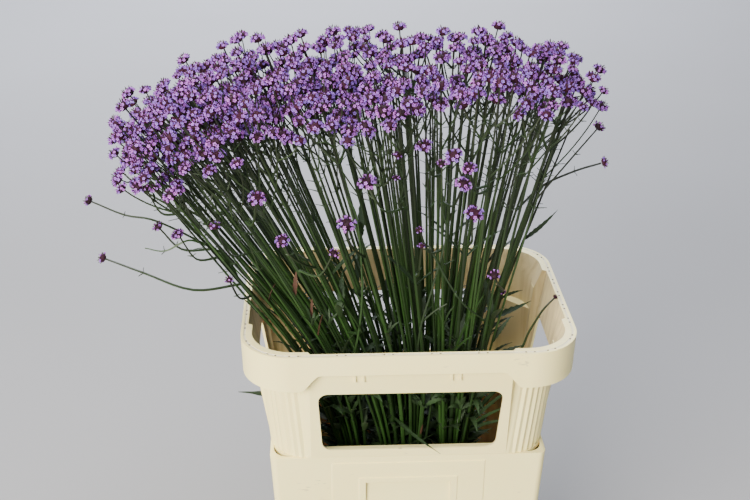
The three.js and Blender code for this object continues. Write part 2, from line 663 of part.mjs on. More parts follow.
function growShoot({ column, row, side, from, radius, route }) {
  const skin = new Skin();
  const stem = stems.find((one) => one.column === column && one.row === row);
  const bunch = bunches.find(({ members }) => members.includes(stem));
  const at = (z) => stemPoint(stem, bunch, z);
  const along = towards(at(RIM_Z + from - 10), at(RIM_Z + from + 10));
  const outward = level(stem.bearing + ((side - 1) * Math.PI) / 2).projectOnPlane(along).normalize();
  const start = at(RIM_Z + from).addScaledVector(outward, STEM_WIDTH / 2 + GAP);
  const across = new THREE.Vector3().crossVectors(outward, along).negate();
  const points = [start, ...route.map(([x, y, z]) => new THREE.Vector3(x, y, z + RIM_Z))];
  const ring = skin.ring(section(start, outward, across, STALK_WIDTH / 2));
  skin.capStart(ring);
  const stalk = growStalk(skin, ring, points, across, route.map(() => STALK_WIDTH));
  const tip = points[points.length - 1];
  growHead(skin, stalk.ring, tip, stalk.direction, across, radius, radius * 1.1);
  return skin.geometry();
}

// The bundled stem ends of a bunch, as an upright eight-sided prism.
function bundle(centre, radius, low, high) {
  const middle = fan(centre[0], centre[1], BUNCH_TOP_Z);
  const outline = Array.from({ length: 8 }, (_, k) => [
    middle.x + radius * Math.cos(((k + 0.5) * Math.PI) / 4),
    middle.y + radius * Math.sin(((k + 0.5) * Math.PI) / 4)]);
  return loft([[low, outline], [high, outline]]);
}

const stems = planStems();
const bunches = [0, 1, 2].flatMap((side) => [0, 1].map((depth) => {
  const members = stems.filter(({ column, row }) =>
    BUNCH_COLUMNS[column] === side && BUNCH_ROWS[row] === depth);
  const middle = [0, 1].map((k) =>
    members.reduce((sum, stem) => sum + stem.cell[k], 0) / members.length);
  return { name: `bunch_${['left', 'middle', 'right'][side]}_${['front', 'back'][depth]}`,
    members, centre: middle };
}));

const water = loft([FLOOR_Z, WATER_Z].map((z) => [z, roundedRectangle(
  bucketHalf(0, z, -WALL - GAP), bucketHalf(1, z, -WALL - GAP), BUCKET_RADIUS, 3)]))
  .subtract(joined(bunches.map(({ centre }) =>
    bundle(centre, BUNCH_RADIUS + GAP, FLOOR_Z - 1, WATER_Z + 1))));

addMesh('bucket', toGeometry(bucket()), COLOURS.plastic, 0.5);
addMesh('collar', toGeometry(collar()), COLOURS.plastic, 0.5);
addMesh('water', toGeometry(water), COLOURS.water, 0.1);
bunches.forEach((bunch) => {
  const foot = bundle(bunch.centre, BUNCH_RADIUS, FLOOR_Z, BUNCH_TOP_Z);
  addMesh(bunch.name, toGeometry(joined([foot, ...bunch.members.map((stem) =>
    growStem(stem, bunch))])), COLOURS.stem, 0.7);
});
stems.forEach((stem, k) => {
  addMesh(`spray_${String(k + 1).padStart(2, '0')}`, growSpray(stem), COLOURS.head, 0.8);
});

SHOOTS.forEach((shoot, k) => {
  addMesh(`shoot_${k + 1}`, growShoot(shoot), COLOURS.head, 0.8);
});

export default group;
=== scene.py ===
import math
import random

import bmesh
import bpy
from mathutils import Matrix, Vector


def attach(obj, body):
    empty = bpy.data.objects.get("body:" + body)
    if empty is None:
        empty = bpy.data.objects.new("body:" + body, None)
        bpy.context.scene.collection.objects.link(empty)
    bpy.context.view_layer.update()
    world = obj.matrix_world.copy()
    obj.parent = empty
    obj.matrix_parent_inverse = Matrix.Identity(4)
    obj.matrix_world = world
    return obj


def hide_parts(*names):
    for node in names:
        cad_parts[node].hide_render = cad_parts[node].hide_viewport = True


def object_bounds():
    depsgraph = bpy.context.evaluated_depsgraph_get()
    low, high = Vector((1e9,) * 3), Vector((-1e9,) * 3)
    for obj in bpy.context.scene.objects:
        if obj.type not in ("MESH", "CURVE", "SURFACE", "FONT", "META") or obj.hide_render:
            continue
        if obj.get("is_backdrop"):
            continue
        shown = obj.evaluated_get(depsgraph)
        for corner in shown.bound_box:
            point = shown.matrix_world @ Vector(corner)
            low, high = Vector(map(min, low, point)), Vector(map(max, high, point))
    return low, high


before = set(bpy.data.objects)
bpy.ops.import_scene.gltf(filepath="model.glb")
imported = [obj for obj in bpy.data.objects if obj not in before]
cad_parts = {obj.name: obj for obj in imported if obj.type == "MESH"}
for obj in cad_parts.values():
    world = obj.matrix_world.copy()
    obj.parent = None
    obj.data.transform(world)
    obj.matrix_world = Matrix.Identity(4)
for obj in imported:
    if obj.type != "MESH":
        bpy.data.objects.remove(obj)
cad_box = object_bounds()
bpy.ops.object.select_all(action="DESELECT")

# ------------------------------------------------------------
# Bucket. A tapered pail, injection-moulded in cream polypropylene. A ledge runs round its
# mouth, and its walls carry raised fields; those in front and at the back hold a flat pocket.
# It is a tapered block, hollowed and cut, and its edges are rounded last.
# ------------------------------------------------------------

MM = 0.001
WALL = 3 * MM
BUCKET_HEIGHT = 263 * MM
BUCKET_TOP = (168 * MM, 118 * MM)  # half length and half depth
BUCKET_BOTTOM = (155 * MM, 105 * MM)
BUCKET_RADIUS = 9 * MM
FLOOR_THICKNESS = 3.7 * MM
LEDGE_THICKNESS = 5 * MM
MOUTH_HALF = (152.3 * MM, 102.3 * MM)
MOUTH_RADIUS = 40.3 * MM
FIELD_HALF = (60 * MM, 94 * MM)  # on the sides, and on the front and back
FIELD_LOW = 40 * MM
FIELD_TOP = 254 * MM
FIELD_PROUD = 1.2 * MM
FRAME_HALF = 61 * MM
FRAME_LOW = 70 * MM
FRAME_TOP = 232 * MM
FRAME_PROUD = 2.4 * MM
POCKET_HALF = 52 * MM
POCKET_LOW = 80 * MM
POCKET_TOP = 225 * MM
FIELD_RADIUS = 2 * MM
EDGE_ROUND = 0.9 * MM
SHARP_ANGLE = 50  # degrees from which an edge is rounded
SMOOTH_ANGLE = 38  # and up to which the shading runs on over it
BEYOND = 200 * MM  # the far end of a cutter, outside the bucket
SLIT_CENTRE = (121 * MM, 71 * MM)  # of the drain slits that curve round the ledge's corners
SLIT_RADIUS = (47.4 * MM, 53 * MM)
SLIT_ANGLES = (26, 64)


def pick(piece, what, test):
    """In edit mode, selects the verts, edges or faces that pass the test, and nothing else."""
    bpy.ops.mesh.select_mode(type={"verts": "VERT", "edges": "EDGE", "faces": "FACE"}[what])
    bpy.ops.mesh.select_all(action="DESELECT")
    shape = bmesh.from_edit_mesh(piece.data)
    for part in getattr(shape, what):
        if test(part):
            part.select_set(True)
    bmesh.update_edit_mesh(piece.data)


def is_upright(edge):
    low, high = sorted(vert.co.z for vert in edge.verts)
    return high - low > 0.9 * edge.calc_length()


def tapered_block(name, half_low, half_high, low, high, radius, segments):
    """A block between two heights, with other sizes at its top and round upright edges."""
    bpy.ops.mesh.primitive_cube_add(size=2, location=(0, 0, (low + high) / 2),
                                    scale=(*half_low, (high - low) / 2))
    piece = bpy.context.object
    piece.name = name
    bpy.ops.object.transform_apply()
    bpy.ops.object.mode_set(mode="EDIT")
    pick(piece, "faces", lambda face: face.normal.z > 0.9)
    growth = [top / bottom for top, bottom in zip(half_high, half_low)]
    bpy.ops.transform.resize(value=(*growth, 1), center_override=(0, 0, high))
    pick(piece, "edges", is_upright)
    bpy.ops.mesh.bevel(offset=radius, segments=segments, affect="EDGES", clamp_overlap=False)
    bpy.ops.object.mode_set(mode="OBJECT")
    return piece


def apply_modifier(piece, kind, **settings):
    modifier = piece.modifiers.new(kind, kind)
    for name, value in settings.items():
        setattr(modifier, name, value)
    bpy.context.view_layer.objects.active = piece
    bpy.ops.object.modifier_apply(modifier=modifier.name)


def combine(piece, operation, others):
    """Joins the others to the piece, cuts them out of it, or keeps what it shares with them."""
    for other in others:
        apply_modifier(piece, "BOOLEAN", operation=operation, solver="EXACT", object=other,
                       material_mode="TRANSFER")
        bpy.data.meshes.remove(other.data)
    return piece


def round_edges(piece):
    """Rounds the sharp edges and shades the piece smooth."""
    apply_modifier(piece, "BEVEL", width=EDGE_ROUND, segments=2, limit_method="ANGLE",
                   angle_limit=math.radians(SHARP_ANGLE), harden_normals=False)
    smooth(piece)


def smooth(piece):
    bpy.ops.object.select_all(action="DESELECT")
    piece.select_set(True)
    bpy.context.view_layer.objects.active = piece
    bpy.ops.object.shade_smooth_by_angle(angle=math.radians(SMOOTH_ANGLE))
    apply_modifier(piece, "WEIGHTED_NORMAL", keep_sharp=True)


def upright_block(name, half, low, high, radius, segments):
    return tapered_block(name, half, half, low, high, radius, segments)


def mix(low, high, share):
    return low + (high - low) * share


def wall_half(z, extra=0.0):
    """Half length and half depth of the bucket at height z, grown by extra."""
    return tuple(mix(low, high, z / BUCKET_HEIGHT) + extra
                 for low, high in zip(BUCKET_BOTTOM, BUCKET_TOP))


def bucket_slab(name, low, high, extra, radius, segments):
    return tapered_block(name, wall_half(low, extra), wall_half(high, extra), low, high,
                         radius, segments)


def raised_field(axis, half, low, high, proud):
    """A field on two opposite walls: a slab through the bucket, as wide as the field."""
    sizes = [list(wall_half(z, proud)) for z in (low, high)]
    for size in sizes:
        size[1 - axis] = half
    return tapered_block("field", *sizes, low, high, FIELD_RADIUS, 2)


def box(name, low, high):
    """A plain block between two opposite corners, used to cut with."""
    middle = [(a + b) / 2 for a, b in zip(low, high)]
    bpy.ops.mesh.primitive_cube_add(size=1, location=middle,
                                    scale=[b - a for a, b in zip(low, high)])
    piece = bpy.context.object
    piece.name = name
    bpy.ops.object.transform_apply()
    return piece


def new_piece(name, points, faces):
    mesh = bpy.data.meshes.new(name)
    mesh.from_pydata(points, [], faces)
    piece = bpy.data.objects.new(name, mesh)
    bpy.context.collection.objects.link(piece)
    return piece


def extruded(name, outline, low, high, axis):
    """A bar of that outline along X, Y or Z. The outline leaves out the axis it runs along."""
    ends = [[(*pair[:axis], along, *pair[axis:]) for pair in outline] for along in (low, high)]
    count = len(outline)
    sides = [(k, (k + 1) % count, (k + 1) % count + count, k + count) for k in range(count)]
    piece = new_piece(name, ends[0] + ends[1], [range(count), range(count, 2 * count), *sides])
    bpy.context.view_layer.objects.active = piece
    bpy.ops.object.mode_set(mode="EDIT")
    bpy.ops.mesh.select_all(action="SELECT")
    bpy.ops.mesh.normals_make_consistent(inside=False)
    bpy.ops.object.mode_set(mode="OBJECT")
    return piece


def drain_slit(side_x, side_y):
    """A crescent cut through a corner of the ledge, beside the foot of the collar's pillar."""
    outline = []
    for step in range(16):  # out along the wider arc and back along the narrower
        share = step / 8 if step <= 8 else (16 - step) / 8
        angle = math.radians(mix(*SLIT_ANGLES, share))
        reach = mix(*SLIT_RADIUS, math.sin(math.pi * share)) if step < 8 else SLIT_RADIUS[0]
        outline.append((side_x * (SLIT_CENTRE[0] + reach * math.cos(angle)),
                        side_y * (SLIT_CENTRE[1] + reach * math.sin(angle))))
    return extruded("slit", outline, BUCKET_HEIGHT - 2 * LEDGE_THICKNESS, BUCKET_HEIGHT + MM, 2)


bucket = bucket_slab("cream_bucket", 0, BUCKET_HEIGHT, 0, BUCKET_RADIUS, 6)
combine(bucket, "UNION", [
    raised_field(0, FIELD_HALF[0], FIELD_LOW, FIELD_TOP, FIELD_PROUD),
    raised_field(1, FIELD_HALF[1], FIELD_LOW, FIELD_TOP, FIELD_PROUD),
    raised_field(1, FRAME_HALF, FRAME_LOW, FRAME_TOP, FRAME_PROUD),
])
pocket_face = wall_half((POCKET_LOW + POCKET_TOP) / 2, FIELD_PROUD)[1]
combine(bucket, "DIFFERENCE", [
    bucket_slab("cavity", FLOOR_THICKNESS, BUCKET_HEIGHT - LEDGE_THICKNESS, -WALL,
                BUCKET_RADIUS, 4),
    upright_block("mouth", MOUTH_HALF, BUCKET_HEIGHT - 2 * LEDGE_THICKNESS,
                  BUCKET_HEIGHT + MM, MOUTH_RADIUS, 12),
    box("front_pocket", (-POCKET_HALF, -BEYOND, POCKET_LOW),
        (POCKET_HALF, -pocket_face, POCKET_TOP)),
    box("back_pocket", (-POCKET_HALF, pocket_face, POCKET_LOW),
        (POCKET_HALF, BEYOND, POCKET_TOP)),
])
round_edges(bucket)
combine(bucket, "DIFFERENCE", [drain_slit(x, y) for x in (-1, 1) for y in (-1, 1)])


def linear(text):
    """An sRGB hex colour as linear red, green, blue and alpha."""
    parts = [int(text[k:k + 2], 16) / 255 for k in (1, 3, 5)]
    return (*[part / 12.92 if part <= 0.04045 else ((part + 0.055) / 1.055) ** 2.4
              for part in parts], 1)


def add(tree, kind, inputs=None, **settings):
    """Adds a node. Each input is a number, a hex colour, an output of another node, or that
    node itself, which stands for its first output."""
    node = tree.nodes.new("ShaderNode" + kind)
    for name, value in settings.items():
        setattr(node, name, value)
    link(tree, node, inputs or {})
    return node


def link(tree, node, inputs):
    for name, value in inputs.items():
        if isinstance(value, str):
            value = linear(value)
        if isinstance(value, bpy.types.Node):
            value = value.outputs[0]
        if isinstance(value, bpy.types.NodeSocket):
            tree.links.new(value, node.inputs[name])
        else:
            node.inputs[name].default_value = value


def new_material(name):
    made = bpy.data.materials.new(name)
    made.use_nodes = True
    return made, made.node_tree, made.node_tree.nodes["Principled BSDF"]


def moulded_polypropylene():
    """Cream polypropylene from a mould: a soft satin gloss over a faint orange-peel grain, with
    cloudy yellowing, a darker warm tan painted on its inner walls as painted shade and bounced
    light, upright water stains there, and grey dirt in fine scuffs."""
    made, tree, shader = new_material("moulded_cream_polypropylene")
    place = add(tree, "TexCoord").outputs["Object"]
    cloud = add(tree, "TexNoise", {"Vector": place, "Scale": 9.0, "Detail": 3.0})
    aged = add(tree, "MixRGB", {"Fac": cloud, "Color1": "#FCF1B2", "Color2": "#F7E8A2"})
    upright = add(tree, "Mapping", {"Vector": place, "Scale": (110, 110, 5)})
    runs = add(tree, "TexNoise", {"Vector": upright, "Scale": 1.0, "Detail": 4.0})
    stain = add(tree, "MapRange", {"Value": runs, "From Min": 0.46, "From Max": 0.72,
                                   "To Max": 0.5})
    inner = add(tree, "Attribute", attribute_name="inner").outputs["Fac"]
    # Inward faces take a darker warm tan: painted warm shade and bounced light inside the bucket
    # and the collar.
    with_painted_inner_shade = add(tree, "MixRGB", {"Fac": inner, "Color1": aged, "Color2": "#DCCA9A"})
    stained = add(tree, "Math", {0: stain, 1: inner}, operation="MULTIPLY")
    streaked = add(tree, "MixRGB", {"Fac": stained, "Color1": with_painted_inner_shade, "Color2": "#A08458"})
    # Scuffs a few millimetres long; real ones are finer, and these are as coarse as can show.
    stretched = add(tree, "Mapping", {"Vector": place, "Scale": (90, 90, 420)})
    scratch = add(tree, "TexNoise", {"Vector": stretched, "Scale": 1.0, "Detail": 1.0})
    patch = add(tree, "TexNoise", {"Vector": place, "Scale": 16.0})
    both = add(tree, "Math", {0: scratch, 1: patch}, operation="MULTIPLY")
    scuff = add(tree, "MapRange", {"Value": both, "From Min": 0.435, "From Max": 0.5,
                                   "To Max": 0.55})
    scuffed = add(tree, "MixRGB", {"Fac": scuff, "Color1": streaked, "Color2": "#8F8A74"})
    grain = add(tree, "TexNoise", {"Vector": place, "Scale": 900.0, "Detail": 2.0})
    bump = add(tree, "Bump", {"Height": grain, "Strength": 0.12, "Distance": 0.1 * MM})
    gloss = add(tree, "MapRange", {"Value": cloud, "To Min": 0.4, "To Max": 0.55})
    link(tree, shader, {"Base Color": scuffed, "IOR": 1.49, "Roughness": gloss, "Normal": bump,
                        "Subsurface Weight": 0.12, "Subsurface Scale": 4 * MM,
                        "Subsurface Radius": (1.0, 0.62, 0.3)})
    return made


def mark_inner(piece):
    """Stores, face by face, whether the face looks towards the middle of the piece. The
    polypropylene paints those faces a darker warm tan, as painted shade.
    """
    inner = piece.data.attributes.new("inner", "FLOAT", "FACE")
    for face, mark in zip(piece.data.polygons, inner.data):
        facing = face.normal.xy.dot(face.center.xy)
        mark.value = 1 if facing < -0.3 * face.center.xy.length else 0


def coat(piece, material):
    """Gives the whole piece one material."""
    piece.data.materials.clear()
    piece.data.materials.append(material)
    for face in piece.data.polygons:
        face.material_index = 0


polypropylene = moulded_polypropylene()
coat(bucket, polypropylene)
mark_inner(bucket)
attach(bucket, "root")
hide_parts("bucket")

# ------------------------------------------------------------
# Collar. A ring of the same plastic that plugs into the bucket's mouth: four fluted corner
# pillars, a slanted panel with a window on each side, and a deep band round the rim. The rim's
# top has a shallow channel, where dirt has settled, and pairs of small drain pits lined dark.
# ------------------------------------------------------------

COLLAR_FOOT = BUCKET_HEIGHT + 0.3 * MM
RIM_Z = 420 * MM
RIM_HALF = (198 * MM, 148 * MM)
RIM_RADIUS = 60.5 * MM
RIM_TOP = 4 * MM
CORNER_INSET = (30 * MM, 17.5 * MM)  # pillar behind the rim's outside, at the foot and the rim
PILLAR_RADIUS = 47 * MM
FLUTES = 9  # on each pillar
FLUTE_DEPTH = 1.7 * MM
PANEL_INSET = (30 * MM, 5 * MM)
PANEL_HALF = (118 * MM, 66 * MM)  # half width of the front panel and of the side panel
PANEL_SHOULDER = 8 * MM
PANEL_EMBED = 1.5 * MM  # depth of a panel's edge inside the pillars
BAND_DROP = (46 * MM, 25 * MM)  # below the rim: at the corners, and along the sides
BAND_DRAFT = 1.2 * MM
BAND_WALL = 4 * MM
ARCH_REACH = (11.5 * MM, -13 * MM)  # the arch's edge past the panel's, low down and high up
WINDOW_HALF = ((109 * MM, 104 * MM), (54 * MM, 51 * MM))  # at the top and the bottom
WINDOW_TOP = RIM_Z - 58 * MM
WINDOW_BOTTOM = RIM_Z - 145 * MM
WINDOW_RADIUS = 12 * MM
RIB_PLACES = (-65.5 * MM, -55.5 * MM, 46.5 * MM, 56.5 * MM)
RIB_LOW = RIM_Z - 39 * MM
RIB_HIGH = RIM_Z - 25 * MM
RIB_PROUD = 3.2 * MM
PLUG_HALF = (152 * MM, 102 * MM)
PLUG_RADIUS = 40 * MM
PLUG_DEPTH = 26 * MM
BASE_MARGIN = 12 * MM  # of the collar's floor past the plug
GUSSET_DROP = 62 * MM  # the shelf in each inner corner, below the rim
GUSSET_CORNER = 26 * MM  # of its triangle, from the rim's outside
GUSSET_LEGS = (-48 * MM, 4 * MM)
CORNER_MOUTH = (13 * MM, 22 * MM)  # the inner corners' flare: inset at the rim and below
FLARE_DEPTH = 27 * MM
FILLING_INSET = 11 * MM  # of the block that gives the flare its stuff, behind the band
CHANNEL_INSET = (3.2 * MM, 5.8 * MM)  # outer and inner edge of the channel in the rim's top
CHANNEL_DEPTH = 0.4 * MM
PIT_INSET = 4.5 * MM
PIT_RADIUS = 1.35 * MM
PIT_LENGTH = 4 * MM  # half of it below the rim's top
PIT_SPACING = 10 * MM
PIT_PAIRS = ((6, 54 * MM), (5, 34.7 * MM))  # count and period: front and back, and the sides
PIT_ANGLES = (0.42, 1.15)  # of the two pairs on each corner
CUT_REACH = 300 * MM  # half the length of a cutter through two opposite panels


def inset_half(inset):
    return tuple(half - inset for half in RIM_HALF)


def at_height(ends, z):
    """The value at height z of something that changes evenly from the foot to the rim."""
    return ends[0] + (ends[1] - ends[0]) * (z - BUCKET_HEIGHT) / (RIM_Z - BUCKET_HEIGHT)


def flute(piece, radius, depth):
    """Presses upright flutes into the round corners of a block."""
    for vert in piece.data.vertices:
        level = [other.co for other in piece.data.vertices if abs(other.co.z - vert.co.z) < MM]
        centre = Vector((max(co.x for co in level) - radius, max(co.y for co in level) - radius))
        arm = Vector((abs(vert.co.x) - centre.x, abs(vert.co.y) - centre.y))
        if min(arm) > 0.01 * MM:
            turn = math.atan2(arm.y, arm.x) / (math.pi / 2)
            press = depth * (0.5 - 0.5 * math.cos(2 * math.pi * FLUTES * turn))
            shift = arm.normalized() * press
            vert.co.x -= math.copysign(shift.x, vert.co.x)
            vert.co.y -= math.copysign(shift.y, vert.co.y)


def panel(axis, thinner, low, high):
    """Two opposite slanted panels as one block, whose sides slope back to the pillars."""
    half = PANEL_HALF[1 - axis] - thinner / 2
    levels = []
    for z in (low, high):
        face = RIM_HALF[axis] - at_height(PANEL_INSET, z) - thinner
        root = RIM_HALF[axis] - at_height(CORNER_INSET, z) - thinner - PANEL_EMBED
        levels.append([(half + PANEL_SHOULDER, root, z), (half, face, z),
                       (-half, face, z), (-half - PANEL_SHOULDER, root, z)])
    points = levels[0] + levels[1]
    points += [(-x, -y, z) for x, y, z in points]
    bottom = [0, 1, 2, 3, 8, 9, 10, 11]
    top = [4, 5, 6, 7, 12, 13, 14, 15]
    sides = [(bottom[k], bottom[(k + 1) % 8], top[(k + 1) % 8], top[k]) for k in range(8)]
    piece = new_piece("panel", points, [bottom[::-1], top, *sides])
    if axis == 0:
        piece.data.transform(Matrix.Rotation(math.pi / 2, 4, "Z"))
    return piece


def collar_body(name, thinner, low, high, segments):
    """The pillars and panels as one block, thinner all round by the given amount."""
    halves = [inset_half(at_height(CORNER_INSET, z) + thinner) for z in (low, high)]
    body = tapered_block(name, *halves, low, high, PILLAR_RADIUS - thinner, segments)
    if thinner == 0:
        flute(body, PILLAR_RADIUS, FLUTE_DEPTH)
    return combine(body, "UNION", [panel(1, thinner, low, high), panel(0, thinner, low, high)])


def ease(t):
    """Rises from 0 to 1, level at both ends."""
    return t * t * (3 - 2 * t)


def arch(axis):
    """What is cut from the band over a panel: its lower edge rises in a soft S at each end."""
    half = PANEL_HALF[1 - axis]
    right = [(half + ARCH_REACH[0] + MM, RIM_Z - BAND_DROP[0] - 5 * MM)]
    for k in range(9):
        right.append((half + mix(*ARCH_REACH, k / 8), RIM_Z - mix(*BAND_DROP, ease(k / 8))))
    outline = right + [(-x, z) for x, z in reversed(right)]
    return extruded("arch", outline, -CUT_REACH, CUT_REACH, axis)


def window(axis):
    top, bottom = WINDOW_HALF[1 - axis]
    height = WINDOW_TOP - WINDOW_BOTTOM
    outline = []
    for corner, (side, level) in enumerate([(1, 1), (-1, 1), (-1, -1), (1, -1)]):
        for step in range(7):
            angle = (corner + step / 6) * math.pi / 2
            x = side * (top - WINDOW_RADIUS) + WINDOW_RADIUS * math.cos(angle)
            z = level * (height / 2 - WINDOW_RADIUS) + WINDOW_RADIUS * math.sin(angle)
            down = 0.5 - z / height
            outline.append((x * (1 - down * (1 - bottom / top)), WINDOW_BOTTOM + height / 2 + z))
    return extruded("window", outline, -CUT_REACH, CUT_REACH, axis)


def ribs():
    """Short upright ribs under the band, on the front and back panels."""
    face = RIM_HALF[1] - at_height(PANEL_INSET, RIB_LOW)
    made = []
    for side in (-1, 1):
        near, far = sorted((side * (face - MM), side * (face + RIB_PROUD)))
        made += [box("rib", (-side * x - MM, near, RIB_LOW), (-side * x + MM, far, RIB_HIGH + MM))
                 for x in RIB_PLACES]
    return made


def gusset(side_x, side_y):
    """A three-cornered filling between two panels inside the collar, with a flat top."""
    corner = inset_half(GUSSET_CORNER)
    outline = [(0, 0), GUSSET_LEGS, GUSSET_LEGS[::-1]]
    return extruded("gusset", [(side_x * (corner[0] + x), side_y * (corner[1] + y))
                               for x, y in outline], COLLAR_FOOT + MM, RIM_Z - GUSSET_DROP, 2)


def channel():
    """The shallow channel round the top of the rim."""
    outer, inner = [upright_block("channel", inset_half(inset), RIM_Z - CHANNEL_DEPTH - shift,
                                  RIM_Z + MM + shift, RIM_RADIUS - inset, 16)
                    for inset, shift in zip(CHANNEL_INSET, (0, MM))]
    return combine(outer, "DIFFERENCE", [inner])


def pits():
    """Pairs of small round pits along the middle of the channel."""
    half = inset_half(PIT_INSET)
    radius = RIM_RADIUS - PIT_INSET
    places = []
    for side in range(4):
        across, deep = half if side % 2 == 0 else half[::-1]
        count, period = PIT_PAIRS[side % 2]
        turn = Matrix.Rotation(side * math.pi / 2, 2)
        for pair in range(count):
            middle = (pair - (count - 1) / 2) * period
            places += [turn @ Vector((middle + shift, -deep))
                       for shift in (-PIT_SPACING / 2, PIT_SPACING / 2)]
        for angle in PIT_ANGLES:
            for shift in (-0.5, 0.5):
                way = angle + shift * PIT_SPACING / radius
                places.append(turn @ Vector((across - radius + radius * math.sin(way),
                                             radius - deep - radius * math.cos(way))))
    made = []
    for place in places:
        bpy.ops.mesh.primitive_cylinder_add(vertices=10, radius=PIT_RADIUS, depth=PIT_LENGTH,
                                            location=(*place, RIM_Z))
        made.append(bpy.context.object)
    for pit in made:
        pit.select_set(True)
    bpy.ops.object.join()
    bpy.ops.object.transform_apply()
    return bpy.context.object


plug_low = COLLAR_FOOT - PLUG_DEPTH
throat_half, base_half = [[half + extra for half in PLUG_HALF] for extra in (-WALL, BASE_MARGIN)]
collar = collar_body("cream_collar", 0, COLLAR_FOOT, RIM_Z - MM, 36)
band = tapered_block("band", inset_half(BAND_DRAFT), RIM_HALF, RIM_Z - BAND_DROP[0], RIM_Z,
                     RIM_RADIUS, 20)
hollow = upright_block("hollow", inset_half(BAND_WALL), RIM_Z - BAND_DROP[0] - MM,
                       RIM_Z - RIM_TOP, RIM_RADIUS - BAND_WALL, 16)
combine(band, "DIFFERENCE", [hollow, arch(0), arch(1)])
filling = upright_block("filling", inset_half(FILLING_INSET), RIM_Z - FLARE_DEPTH - 3 * MM,
                        RIM_Z - MM, RIM_RADIUS - FILLING_INSET, 12)
combine(collar, "UNION", [band, *ribs(), filling])
flare = tapered_block("flare", inset_half(CORNER_MOUTH[1]),
                      inset_half(CORNER_MOUTH[0] - 0.3 * MM), RIM_Z - FLARE_DEPTH, RIM_Z + MM,
                      RIM_RADIUS - CORNER_MOUTH[0], 12)
inside = collar_body("inside", WALL, COLLAR_FOOT + MM, RIM_Z + MM, 12)
combine(collar, "DIFFERENCE", [inside, flare])
gussets = combine(gusset(-1, -1), "UNION", [gusset(-1, 1), gusset(1, -1), gusset(1, 1)])
combine(gussets, "INTERSECT", [collar_body("limit", WALL / 2, COLLAR_FOOT, RIM_Z, 12)])
plug = upright_block("plug", PLUG_HALF, plug_low, COLLAR_FOOT + 2 * MM, PLUG_RADIUS, 12)
base = upright_block("base", base_half, COLLAR_FOOT + 0.5 * MM, COLLAR_FOOT + WALL,
                     PILLAR_RADIUS, 12)
throat = upright_block("throat", throat_half, plug_low - MM, COLLAR_FOOT + 5 * MM,
                       PLUG_RADIUS - WALL, 12)
combine(collar, "UNION", [gussets, plug, base])
combine(collar, "DIFFERENCE", [throat, window(0), window(1)])
round_edges(collar)


def speckled_lining(name, colour, speck, coverage):
    """A dull lining, speckled and in drifts: in the channel, dried dirt as standing water leaves
    it; in the pits, a dark lining.
    """
    made, tree, shader = new_material(name)
    place = add(tree, "TexCoord").outputs["Object"]
    speckle = add(tree, "TexNoise", {"Vector": place, "Scale": 160.0, "Detail": 3.0})
    drift = add(tree, "TexNoise", {"Vector": place, "Scale": 14.0})
    both = add(tree, "Math", {0: speckle, 1: drift}, operation="MULTIPLY")
    amount = add(tree, "MapRange", {"Value": both, "From Min": 0.36 - coverage,
                                    "From Max": 0.46 - coverage})
    mixed = add(tree, "MixRGB", {"Fac": amount, "Color1": colour, "Color2": speck})
    link(tree, shader, {"Base Color": mixed, "Roughness": 0.85})
    return made


def cut_with_lining(piece, cutter, lining):
    """Cuts the piece; the new faces take the lining."""
    coat(cutter, lining)
    combine(piece, "DIFFERENCE", [cutter])


coat(collar, polypropylene)
cut_with_lining(collar, channel(), speckled_lining("dirt_in_channel", "#E6DEC3", "#C2B99D", 0.05))
# The pits' walls and floors are lined dark.
cut_with_lining(collar, pits(), speckled_lining("dark_pit_lining", "#5A5340", "#2C271C", 0.1))
mark_inner(collar)
smooth(collar)
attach(collar, "root")
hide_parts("collar")

# ------------------------------------------------------------
# Water. It fills a third of the bucket and keeps the cut stems fresh. It is still and clear, and
# its surface climbs a little way up the wall.
# ------------------------------------------------------------

WATER_FOOT = FLOOR_THICKNESS + 0.3 * MM
WATER_TOP = 88 * MM
WATER_GAP = 0.3 * MM
CLIMB = ((1.5 * MM, 1.2 * MM), (3 * MM, 0.6 * MM), (5 * MM, 0.2 * MM))  # inwards and downwards


def clear_water():
    """Still water with a trace of green from the stems: glossy and clear, with slow ripples."""
    made, tree, shader = new_material("still_clear_water")
    place = add(tree, "TexCoord").outputs["Object"]
    ripple = add(tree, "TexNoise", {"Vector": place, "Scale": 28.0})
    bump = add(tree, "Bump", {"Height": ripple, "Strength": 0.3, "Distance": 0.8 * MM})
    cloud = add(tree, "TexNoise", {"Vector": place, "Scale": 12.0})
    tone = add(tree, "MixRGB", {"Fac": cloud, "Color1": "#E4EEDD", "Color2": "#D5E3C8"})
    link(tree, shader, {"Base Color": tone, "Roughness": 0.03, "IOR": 1.333,
                        "Transmission Weight": 1.0, "Normal": bump})
    return made


water = bucket_slab("water_in_bucket", WATER_FOOT, WATER_TOP, -WALL - WATER_GAP,
                    BUCKET_RADIUS, 6)
bpy.ops.object.mode_set(mode="EDIT")
pick(water, "faces", lambda face: face.normal.z > 0.9)
for inwards, down in CLIMB:
    bpy.ops.mesh.inset(thickness=inwards)
    bpy.ops.transform.translate(value=(0, 0, -down))
bpy.ops.object.mode_set(mode="OBJECT")
coat(water, clear_water())
smooth(water)
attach(water, "root")
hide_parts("water")

# ------------------------------------------------------------
# Stems. Tall verbena has stiff square stems with opposite, narrow, toothed leaves. They stand in
# six bunches: packed together at the foot, they spread in a fan above the water. Each stem keeps
# its own place (u, v) in the fan, from -1 to 1 each way, so no two of them cross.
# ------------------------------------------------------------

